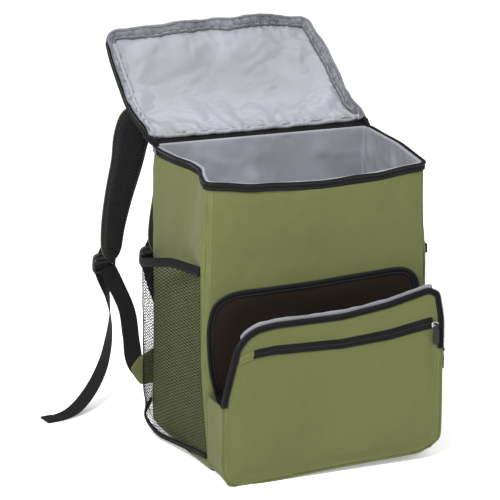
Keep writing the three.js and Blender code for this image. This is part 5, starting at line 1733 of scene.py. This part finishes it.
@dataclass
class NetPocket:
    """An open net pocket on one side of the bag, between two bindings."""

    bag: BagBody
    side: Side
    top: float = 258.0
    bottom: float = 24.0
    bulge: float = 30.0
    flat_share: float = 0.45
    pitch: tuple[float, float] = (10.4, 4.2)
    cord: float = 0.22
    swell: Table = Table((0, 0.17, 0.33, 0.55, 0.72, 0.86, 1), (0, 0.3, 0.6, 0.93, 1.0, 0.78, 0), 0.05)
    swell_foot: Table = Table((0, 0.17, 0.33, 0.55, 0.72, 0.86, 1), (0, 0.05, 0.1, 0.25, 0.5, 0.7, 0), 0.05)
    low: Table = Table((0, 0.33, 0.6, 0.72, 0.86, 1), (1.0, 0.7, 0.5, 0.55, 1.2, 1.6), 0.06)
    high: Table = Table((0, 0.33, 0.6, 0.72, 0.86, 1), (1.0, 0.985, 0.935, 0.91, 0.89, 0.87), 0.06)

    def place(self, u: np.ndarray, v: np.ndarray, depth: np.ndarray) -> np.ndarray:
        """Finds a point of the net: u runs from the front seam to the back one, v runs up."""
        u, v = np.broadcast_arrays(np.asarray(u, float), np.asarray(v, float))
        sign = self.side.value
        reach = self.bag.half_depth - 9
        y = mix(-reach, reach, u)
        z = mix(self.bottom * self.low(u), self.top * self.high(u), v)
        full = self.bulge if self.side is Side.LEFT else self.bulge * self.flat_share
        lift = full * mix(self.swell_foot(u), self.swell(u), smooth(0, 0.25, v))
        wall = self.bag.soften(point(np.full(u.shape, sign * self.bag.half_width), y, z))
        return wall + point(sign * (lift + np.asarray(depth, float) + 1.2), 0, 0)

    def build_net(self) -> None:
        """Knots the net: cords round rows of staggered diamond holes."""
        wide, tall = 182.0, self.top - self.bottom
        cols, rows = (int(size / (pitch / 2)) // 2 * 2 for size, pitch in zip((wide, tall), self.pitch))
        step_u, step_v = 1 / cols, 1 / rows
        centres = [(i, j) for i in range(cols + 1) for j in range(rows + 1) if (i + j) % 2 == 1]
        cells = np.array(centres, float)
        corners = np.array([(0, -1), (1, 0), (0, 1), (-1, 0)], float)
        hole_turn = np.linspace(-math.pi / 2, 1.5 * math.pi, 8, endpoint=False)
        hole = np.stack([np.cos(hole_turn), np.sin(hole_turn)], 1)
        hole = hole / (np.abs(hole).sum(axis=1, keepdims=True) ** 0.75)
        hole *= 0.83
        lift = Ripple(131, 40)
        points, faces = [], []

        def add(places: np.ndarray, depth: float) -> np.ndarray:
            """Adds points for each cell and numbers them."""
            u, v = np.clip(places[..., 0] * step_u, 0, 1), np.clip(places[..., 1] * step_v, 0, 1)
            spot = self.place(u, v, depth + lift(u * wide, v * tall) * 0.35 * smooth(0, 0.1, u) * smooth(0, 0.1, 1 - u))
            start = sum(len(p) for p in points)
            points.append(spot.reshape(-1, 3))
            return start + np.arange(spot.shape[0] * spot.shape[1]).reshape(spot.shape[:2])

        outer = add(cells[:, None] + corners[None], 0.0)
        ring = add(cells[:, None] + hole[None], self.cord)
        deep = add(cells[:, None] + hole[None], -self.cord)
        for k in range(4):
            m, a, b, c = (k + 1) % 4, 2 * k, 2 * k + 1, (2 * k + 2) % 8
            faces += np.stack([outer[:, k], ring[:, a], ring[:, b]], 1).tolist()
            faces += np.stack([outer[:, k], ring[:, b], outer[:, m]], 1).tolist()
            faces += np.stack([outer[:, m], ring[:, b], ring[:, c]], 1).tolist()
        for a in range(8):
            b = (a + 1) % 8
            faces += np.stack([ring[:, a], deep[:, a], deep[:, b], ring[:, b]], 1).tolist()
        flat = np.vstack(points)
        cloth = np.stack([flat[:, 1], flat[:, 2]], 1)
        shape = Shape(flat, faces, cloth, np.zeros(len(flat)))
        name = f"side_net_{self.side.word}"
        dress(name, shape, [Finish.NET], [f"mesh_net_{self.side.word}"], crease=80, closed=False)

    def build_binding(self) -> None:
        """Makes the bound top edge and the bound foot, with their stitches."""
        u = np.linspace(0, 1, 120)
        word = self.side.word
        tall = self.top - self.bottom
        rows = {
            "top": (1.0, [(-0.4, 0.4), (-0.4, 2.2), (0.6, 2.9), (5, 2.6), (10.4, 2.8), (11.6, 2.0), (11.7, 0.6),
                                (10.8, -0.4), (5, -0.6), (0.2, -0.4)]),
            "bottom": (0.0, [(-7.2, 0.3), (-6.6, 1.6), (-3, 2.1), (-0.2, 1.9), (0.6, 1.0), (0.5, 0.0), (-3, -0.3)]),
        }
        stitches = []
        for edge, (v, profile) in rows.items():
            line = self.place(u, v, 0.0)
            ahead = unit(np.gradient(line, axis=0))
            above = self.place(u, v + 8 / tall, 0.0)
            side = unit(above - line)
            out = unit(np.cross(side, ahead))
            out *= np.sign(np.sum(out * [self.side.value, 0, 0], axis=1, keepdims=True) + 1e-6)
            shape = sweep(line, side, out, np.array(profile), worn=0.4)
            dress(f"net_{edge}_binding_{word}", shape, [Finish.BINDING], [f"mesh_{edge}_binding_{word}"])
            offset = 2.0 if edge == "top" else -1.6
            stitches.append(studs(line + side * offset + out * 2.6, out, 3.0, (2.0, 0.45, 0.4), 0.1))
        dress(f"net_stitches_{word}", Shape.joined(stitches), [Finish.BLACK_THREAD])

    def build(self) -> None:
        """Makes the whole net pocket."""
        self.build_net()
        self.build_binding()


@dataclass
class ShoulderStrap:
    """One shoulder strap: padded strap, webbing from its tab, ladder buckle and loose tail."""

    bag: BagBody
    side: Side
    run: tuple[tuple[float, float, float, float], ...]
    webbing: tuple[tuple[float, ...], ...]
    tail: tuple[tuple[float, ...], ...]
    buckle: tuple[float, float, float, float, float]
    widest: float = 56.0
    widths: Table = Table((0, 0.25, 0.55, 0.8, 0.94, 1), (0.89, 1, 0.96, 0.71, 0.56, 0.5), 0.05)
    tip: float = 24.0

    def frames(self, rows: tuple, count: int, rounds: int) -> tuple[np.ndarray, np.ndarray, np.ndarray, np.ndarray]:
        """Follows a run of the table's rows, which are shares of the bag's sizes.

        Args:
            rows: x, y, z, the turn of its width in degrees, and how far its width stands upright.
            count: how many places.
            rounds: how much it is rounded off.

        Returns:
            The line, the direction of its width, which way it faces, and its share of the run.
        """
        knots = np.array([(x * self.bag.half_width, self.bag.half_depth + y * 2 * self.bag.half_depth,
                           z * self.bag.rim_height) for x, y, z, *_ in rows])
        path = relax(spline(knots, count), rounds)
        t = np.linspace(0, len(rows) - 1, count)
        turn = np.radians(np.interp(t, range(len(rows)), [row[3] for row in rows]))
        up = np.interp(t, range(len(rows)), [row[4] if len(row) > 4 else 0 for row in rows])
        ahead = unit(np.gradient(path, axis=0))
        side = np.stack([np.cos(turn) * (1 - up), np.sin(turn) * (1 - up), up], 1)
        side = square(side, ahead)
        return path, side, unit(np.cross(side, ahead)), t / (len(rows) - 1)

    def build_pad(self) -> None:
        """Makes the padded strap: olive outside, foam and air mesh inside, bound edges."""
        word = self.side.word
        path, side, out, share = self.frames(self.run, 210, 26)
        run = lengths(path)
        left = np.clip((run - run[-1] + self.tip) / self.tip, 0, 0.985)
        width = self.widest * self.widths(share) * np.sqrt(1 - left**2)
        k = np.linspace(-1, 1, 17)
        ripple = Ripple(141, 60)(run[:, None], k[None] * 20) * 0.3
        cover_top = 3.0 - 0.9 * np.abs(k) ** 3 + ripple * (1 - k**4)
        half = width[:, None] / 2
        top = np.stack([half * k, cover_top + 0 * half], -1)
        bottom = np.stack([half * k[::-1] * 0.99, np.full((len(run), 17), 0.2)], -1)
        cover = sweep(path, side, out, np.concatenate([top, bottom], axis=1), worn=0.15)
        dress(f"strap_cover_{word}", cover, [Finish.OLIVE], [f"strap_outer_{word}"])
        thin = np.clip(half / 14, 0.15, 1)
        dip = 1.6 * np.exp(-(((np.abs(k) - 0.86) / 0.06) ** 2))
        depth = (5.6 * (1 - np.abs(k) ** 7) + 0.7 - dip) * thin + ripple * 0.6 * (1 - k**4)
        upper = np.stack([(half - 0.3) * k, np.full((len(run), 17), 0.0)], -1)
        lower = np.stack([(half - 0.3) * k[::-1], -depth[:, ::-1]], -1)
        pad = sweep(path, side, out, np.concatenate([upper, lower], axis=1))
        dress(f"strap_pad_{word}", pad, [Finish.AIR_MESH], [f"strap_mesh_{word}"], crease=70)
        edges, stitches = [], []
        for sign in (-1, 1):
            line = path + side * (sign * (half - 0.9))
            edges.append(sweep(line + out * 1.7, side, out, round_profile(2.0, 2.4, 8, 1.0), worn=0.3))
            seam = path + side * (sign * np.maximum(half - 4.2, 0.5)) - out * 5.0 * thin
            keep = width > 12
            stitches.append(studs(seam[keep], -out[keep], 3.2, (2.2, 0.55, 0.5), 0.05))
            seam = path + side * (sign * np.maximum(half - 4.2, 0.5)) + out * 2.55
            stitches.append(studs(seam[keep], out[keep], 3.2, (2.2, 0.5, 0.45), 0.1))
        dress(f"strap_edges_{word}", Shape.joined(edges), [Finish.OLIVE])
        dress(f"strap_stitches_{word}", Shape.joined(stitches), [Finish.BLACK_THREAD])

    def band(self, rows: tuple, width: float, thick: float, count: int, seed: int) -> tuple[Shape, tuple]:
        """Weaves one flat band along a run.

        Args:
            rows: the run's table.
            width: its width in millimetres.
            thick: its thickness in millimetres.
            count: how many places.
            seed: picks its small waves.

        Returns:
            Its shape, and the line, width direction and facing that it follows.
        """
        path, side, out, share = self.frames(rows, count, 6)
        k = np.linspace(-1, 1, 9)
        wave = Ripple(seed, 70)(lengths(path)[:, None], k[None] * 10) * 0.22 * np.sin(math.pi * share)[:, None]
        crown = thick / 2 * (1 - 0.45 * np.abs(k) ** 6)
        half = width / 2
        top = np.stack([np.broadcast_to(half * k, wave.shape), crown + wave], -1)
        bottom = np.stack([np.broadcast_to(half * k[::-1], wave.shape), -crown + wave[:, ::-1]], -1)
        return sweep(path, side, out, np.concatenate([top, bottom], axis=1), worn=0.3), (path, side, out)

    def build_webbing(self) -> None:
        """Makes the webbing from tab to buckle, and the loose tail with its folded end."""
        word = self.side.word
        shape, (path, side, out) = self.band(self.webbing, 25.0, 1.5, 120, 151)
        dress(f"webbing_{word}", shape, [Finish.WEBBING], [f"strap_webbing_{word}"])
        shape, (path, side, out) = self.band(self.tail, 25.0, 1.5, 200, 152)
        parts = [shape]
        if self.side is Side.LEFT:
            run = lengths(path)
            last = run > run[-1] - 17
            lift = np.array([0, 0, 1.3])
            parts.append(sweep(path[last] + lift, side[last], out[last], round_profile(24.6, 1.3, 12, 0.3)))
        dress(f"webbing_tail_{word}", Shape.joined(parts), [Finish.WEBBING], [f"strap_tail_{word}"])
        x, y, z, turn, _ = self.buckle
        steps = ((0.078, -0.001, 0.085), (0.04, 0.004, 0.045), (0.003, 0.001, 0.012), (-0.002, -0.002, -0.024))
        loop = tuple((x + a, y + b, z + c, turn) for a, b, c in steps)
        shape, _ = self.band(loop, 24.0, 1.6, 40, 153)
        dress(f"strap_loop_{word}", shape, [Finish.WEBBING])

    def build_buckle(self) -> None:
        """Moulds the ladder buckle: a rounded frame, two bars and a lifted lip."""
        x, y, z, turn, lean = self.buckle
        deep = self.bag.half_depth + y * 2 * self.bag.half_depth
        centre = np.array([x * self.bag.half_width, deep, z * self.bag.rim_height])
        t, l = math.radians(turn), math.radians(lean)
        across = np.array([math.cos(t), math.sin(t), 0])
        up = np.array([math.sin(t) * math.sin(l), math.cos(t) * math.sin(l), math.cos(l)])
        up = unit(up - across * (up @ across))
        out = np.cross(up, across)
        half_w, half_h = 15.2, 13.2
        angle = np.linspace(0, 2 * math.pi, 64, endpoint=False)
        ring = np.stack([np.cos(angle), np.sin(angle)], 1)
        ring = np.sign(ring) * np.abs(ring) ** 0.45 * [half_w, half_h]
        frame_line = centre + ring[:, :1] * across + ring[:, 1:] * up
        outward = unit(frame_line - centre)
        facing = np.tile(out, (64, 1))
        parts = [sweep(frame_line, outward, facing, round_profile(3.8, 5.0, 10, 0.7), loop=True)]
        bar = np.tile(up, (16, 1)), np.tile(out, (16, 1))
        for height, push, thick in ((0.0, 0.6, 6.4), (-7.4, 1.8, 5.0), (7.6, -0.8, 5.2)):
            line = centre + np.linspace(-half_w, half_w, 16)[:, None] * across + up * height + out * push
            bow = np.sin(np.linspace(0, math.pi, 16))[:, None] * out * (1.0 if height < 0 else 0.3)
            parts.append(sweep(line + bow, *bar, round_profile(thick, 3.8, 10, 0.8)))
        lip = centre + np.linspace(-half_w * 0.8, half_w * 0.8, 16)[:, None] * across - up * (half_h + 1.6) + out * 1.6
        parts.append(sweep(lip, *bar, round_profile(3.4, 3.0, 10, 0.9)))
        word = self.side.word
        dress(f"buckle_{word}", Shape.joined(parts), [Finish.BUCKLE], [f"strap_buckle_{word}"], crease=60)

    def build_tab(self) -> None:
        """Sews the triangular tab at the foot of the webbing."""
        sign, word = self.side.value, self.side.word
        rows = [(0.907, 0.148), (0.907, 0.285), (1.125, 0.243), (1.21, 0.2), (1.11, 0.142)]
        knots = np.array([(sign * a * self.bag.half_width, b * self.bag.rim_height) for a, b in rows])
        closed = np.vstack([knots, knots[:1]])
        edge = even(2.2, np.column_stack([closed, np.zeros(len(closed))]))[0][:-1, :2]
        edge = np.vstack([edge[-3:], edge, edge[:3]])
        edge = relax(edge, 3)[3:-3]
        middle = edge.mean(axis=0)
        shares = np.linspace(1, 0.03, 12)
        rings, backs = [], []
        for s in shares:
            spot = mix(middle, edge, s)
            swell = 1.3 * (1 - s**6) + Ripple(161, 20)(spot[:, 0], spot[:, 1]) * 0.2
            rings.append(point(spot[:, 0], self.bag.half_depth + 1.5 + swell, spot[:, 1]))
            backs.append(point(spot[:, 0], np.full(len(spot), self.bag.half_depth + 0.4), spot[:, 1]))
        worn = np.broadcast_to((shares**8)[:, None], (12, len(edge)))
        dress(f"strap_tab_cloth_{word}", slab(np.stack(rings), np.stack(backs), worn, True), [Finish.OLIVE],
              [f"strap_tab_{word}"])
        stitches = []
        for face, y in ((1, 3.0), (-1, 0.3)):
            line = mix(middle, edge, 0.86)
            path = point(line[:, 0], self.bag.half_depth + y, line[:, 1])
            stitches.append(studs(path, np.tile([0.0, face, 0], (len(path), 1)), 2.9, (2.0, 0.5, 0.45), 0.05))
        dress(f"strap_tab_stitches_{word}", Shape.joined(stitches), [Finish.OLIVE_THREAD])

    def build(self) -> None:
        """Makes the whole strap."""
        self.build_pad()
        self.build_webbing()
        self.build_buckle()
        self.build_tab()


LEFT_RUN = (
    (-0.267, 0.017, 0.823, 0), (-0.28, 0.024, 0.897, 0), (-0.36, 0.136, 0.971, -4), (-0.533, 0.32, 1.005, -8),
    (-0.693, 0.476, 1.037, -8), (-0.813, 0.587, 1.018, -6), (-0.893, 0.621, 0.945, 0), (-0.947, 0.602, 0.858, 4),
    (-1.053, 0.553, 0.739, 6), (-1.133, 0.51, 0.62, 8), (-1.16, 0.485, 0.517, 8),
)
RIGHT_RUN = (
    (0.267, 0.017, 0.823, 0), (0.247, 0.024, 0.897, 0), (0.147, 0.136, 0.971, -4), (-0.04, 0.32, 1.005, -8),
    (-0.213, 0.476, 1.037, -8), (-0.36, 0.587, 1.018, -6), (-0.453, 0.621, 0.945, 0), (-0.52, 0.602, 0.858, 4),
    (-0.6, 0.553, 0.739, 6), (-0.69, 0.51, 0.62, 8), (-0.725, 0.485, 0.528, 8),
)
LEFT_WEBBING = (
    (-1.03, 0.017, 0.172, 0), (-1.147, 0.02, 0.222, 4), (-1.133, 0.136, 0.285, 24), (-1.1, 0.301, 0.364, 18),
    (-1.147, 0.437, 0.443, 10), (-1.193, 0.496, 0.493, 10),
)
RIGHT_WEBBING = (
    (1.147, 0.018, 0.214, 0, 0.9), (0.967, 0.024, 0.227, 0, 0.9), (0.4, 0.117, 0.269, 0, 0.85),
    (-0.2, 0.282, 0.338, 0, 0.7), (-0.6, 0.427, 0.422, 4, 0.3), (-0.76, 0.489, 0.499, 10, 0),
)
LEFT_TAIL = (
    (-1.22, 0.541, 0.507, 10), (-1.213, 0.541, 0.464, 22), (-1.187, 0.519, 0.391, 60), (-1.173, 0.495, 0.311, 78),
    (-1.207, 0.471, 0.222, 94), (-1.287, 0.432, 0.137, 104), (-1.427, 0.374, 0.063, 112), (-1.6, 0.311, 0.016, 116),
    (-1.747, 0.272, 0.004, 112), (-1.893, 0.252, 0.003, 108),
)
RIGHT_TAIL = ((-0.79, 0.538, 0.515, 10), (-0.73, 0.53, 0.409, 14), (-0.62, 0.49, 0.274, 20))


@dataclass
class Fittings:
    """The small metal and rubber pieces of the zips."""

    arch: float = 7.4

    def slider(self, name: str, node: str, along: np.ndarray, out: np.ndarray, finish: Finish, arched: bool) -> None:
        """Casts one slider in the place of its solid.

        Args:
            name: the piece's name.
            node: the solid that it replaces.
            along: the direction of the zip.
            out: which way the slider faces.
            finish: its metal.
            arched: whether a bar for a pull stands on it.
        """
        low, high = (np.array(c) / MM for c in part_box(node))
        across = np.cross(out, along)
        middle = (low + high) / 2
        depth = abs((high - low) @ out)
        back = middle - out * depth / 2
        outline = [(-4.4, -2.0), (-3.4, -3.6), (-0.5, -4.0), (2.6, -3.4), (4.3, -1.6), (4.3, 1.6), (2.6, 3.4),
                   (-0.5, 4.0), (-3.4, 3.6), (-4.4, 2.0)]
        parts = []
        levels = ((0.0, 0.86), (0.3, 1.0), (0.8, 1.0), (0.95, 0.7), (1.3, 0.7), (1.45, 1.0), (1.9, 1.0), (2.2, 0.84))
        rings = [[back + along * a * k + across * b * k + out * h for a, b in outline] for h, k in levels]
        rings = np.array(rings)
        faces = grid_faces(len(levels), len(outline), 0, True)
        faces += [tuple(reversed(range(10))), tuple(range(70, 80))]
        flat = rings.reshape(-1, 3)
        parts.append(Shape(flat, faces, flat[:, :2].copy(), np.zeros(len(flat)), np.zeros(len(faces), int)))
        if arched:
            turn = np.linspace(0, math.pi, 15)
            top = depth - 1.0
            rise = [2.0 + (top - 2.0) * math.sin(a) ** 0.6 for a in turn]
            line = np.array([back - along * self.arch / 2 * 0.86 * math.cos(a) + out * h for a, h in zip(turn, rise)])
            ahead = unit(np.gradient(line, axis=0))
            beside = np.tile(across, (15, 1))
            parts.append(sweep(line, beside, unit(np.cross(beside, ahead)), round_profile(1.6, 1.4, 8, 0.9)))
        dress(name, Shape.joined(parts), [finish], [node], crease=35)

    def build(self) -> None:
        """Makes the sliders and finishes the two pulls."""
        x, y, z = np.eye(3)
        self.slider("slip_slider_cast", "slip_slider", x, -y, Finish.METAL, True)
        self.slider("pocket_slider_cast", "pocket_slider", z, x, Finish.METAL, True)
        self.slider("rim_slider_cast_left", "rim_slider_left", y, -x, Finish.DARK_METAL, False)
        self.slider("rim_slider_cast_right", "rim_slider_right", y, x, Finish.DARK_METAL, False)
        for node in ("slip_pull", "pocket_pull"):
            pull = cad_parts[node]
            pull.data.materials.clear()
            pull.data.materials.append(Wardrobe.get(Finish.RUBBER))
            bevel = pull.modifiers.new("rounded", "BEVEL")
            bevel.width, bevel.segments, bevel.limit_method = 0.45 * MM, 2, "ANGLE"
            log.info("%s: rounded", node)


@dataclass
class Studio:
    """The pale floor, the soft lights and the camera at the photograph's angle."""

    azimuth: float = -19.97
    elevation: float = 16.42
    distance: float = 3.5
    lens: float = 198.0
    target: tuple[float, float, float] = (-0.05123, 0.0, 0.2553)

    def direction(self, azimuth: float, elevation: float) -> Vector:
        """Finds which way a place round the bag lies."""
        a, e = math.radians(azimuth), math.radians(elevation)
        return Vector((math.sin(a) * math.cos(e), -math.cos(a) * math.cos(e), math.sin(e)))

    def build_floor(self) -> None:
        """Lays the wide flat floor."""
        reach = np.linspace(-30, 30, 25)
        grid = point(reach[None] * np.ones((25, 1)), reach[:, None], 0.0)
        mesh = bpy.data.meshes.new("floor")
        mesh.from_pydata(grid.reshape(-1, 3).tolist(), [], grid_faces(*grid.shape[:2]))
        mesh.shade_smooth()
        mesh.materials.append(PaleFloor("pale_floor", "fbfbfb").build())
        floor = bpy.data.objects.new("floor", mesh)
        bpy.context.scene.collection.objects.link(floor)

    def add_light(self, name: str, azimuth: float, elevation: float, away: float, size: float, power: float) -> None:
        """Hangs one soft light that faces the bag.

        Args:
            name: its name.
            azimuth: where round the bag it hangs, in degrees.
            elevation: how high, in degrees.
            away: how far off, in metres.
            size: its width in metres.
            power: its power in watts.
        """
        data = bpy.data.lights.new(name, "AREA")
        data.shape, data.size, data.energy = "DISK", size, power
        light = bpy.data.objects.new(name, data)
        way = self.direction(azimuth, elevation)
        light.location = Vector((0, 0, 0.25)) + way * away
        light.rotation_mode = "QUATERNION"
        light.rotation_quaternion = (-way).to_track_quat("-Z", "Y")
        bpy.context.scene.collection.objects.link(light)

    def build(self) -> None:
        """Sets up the whole studio."""
        self.build_floor()
        self.add_light("key", -45, 44, 2.4, 1.0, 66)
        self.add_light("fill", 42, 34, 2.8, 1.6, 14)
        self.add_light("top", 170, 68, 2.4, 1.6, 22)
        world = bpy.data.worlds.new("studio")
        world.use_nodes = True
        world.node_tree.nodes["Background"].inputs[0].default_value = (1, 1, 1, 1)
        world.node_tree.nodes["Background"].inputs[1].default_value = 0.6
        bpy.context.scene.world = world
        bpy.context.scene.view_settings.view_transform = "Standard"
        data = bpy.data.cameras.new("camera")
        data.lens, data.sensor_width = self.lens, 36
        camera = bpy.data.objects.new("camera", data)
        way = self.direction(self.azimuth, self.elevation)
        camera.location = Vector(self.target) + way * self.distance
        camera.rotation_mode = "QUATERNION"
        camera.rotation_quaternion = (-way).to_track_quat("-Z", "Y")
        bpy.context.scene.collection.objects.link(camera)
        bpy.context.scene.camera = camera


def main() -> None:
    """Builds every sub-assembly in order."""
    logging.basicConfig(level=logging.INFO, format="%(message)s")
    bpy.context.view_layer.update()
    Studio().build()
    bag = BagBody()
    builders: list[Callable[[], None]] = [bag.build, BagLid(bag).build, FrontPocket(bag).build]
    builders += [NetPocket(bag, side).build for side in Side]
    builders.append(
        ShoulderStrap(bag, Side.LEFT, LEFT_RUN, LEFT_WEBBING, LEFT_TAIL, (-1.213, 0.521, 0.509, 10, -8)).build
    )
    builders.append(
        ShoulderStrap(bag, Side.RIGHT, RIGHT_RUN, RIGHT_WEBBING, RIGHT_TAIL, (-0.777, 0.521, 0.517, 10, -8)).build
    )
    builders.append(Fittings().build)
    for build in builders:
        build()


if __name__ == "__main__":
    main()
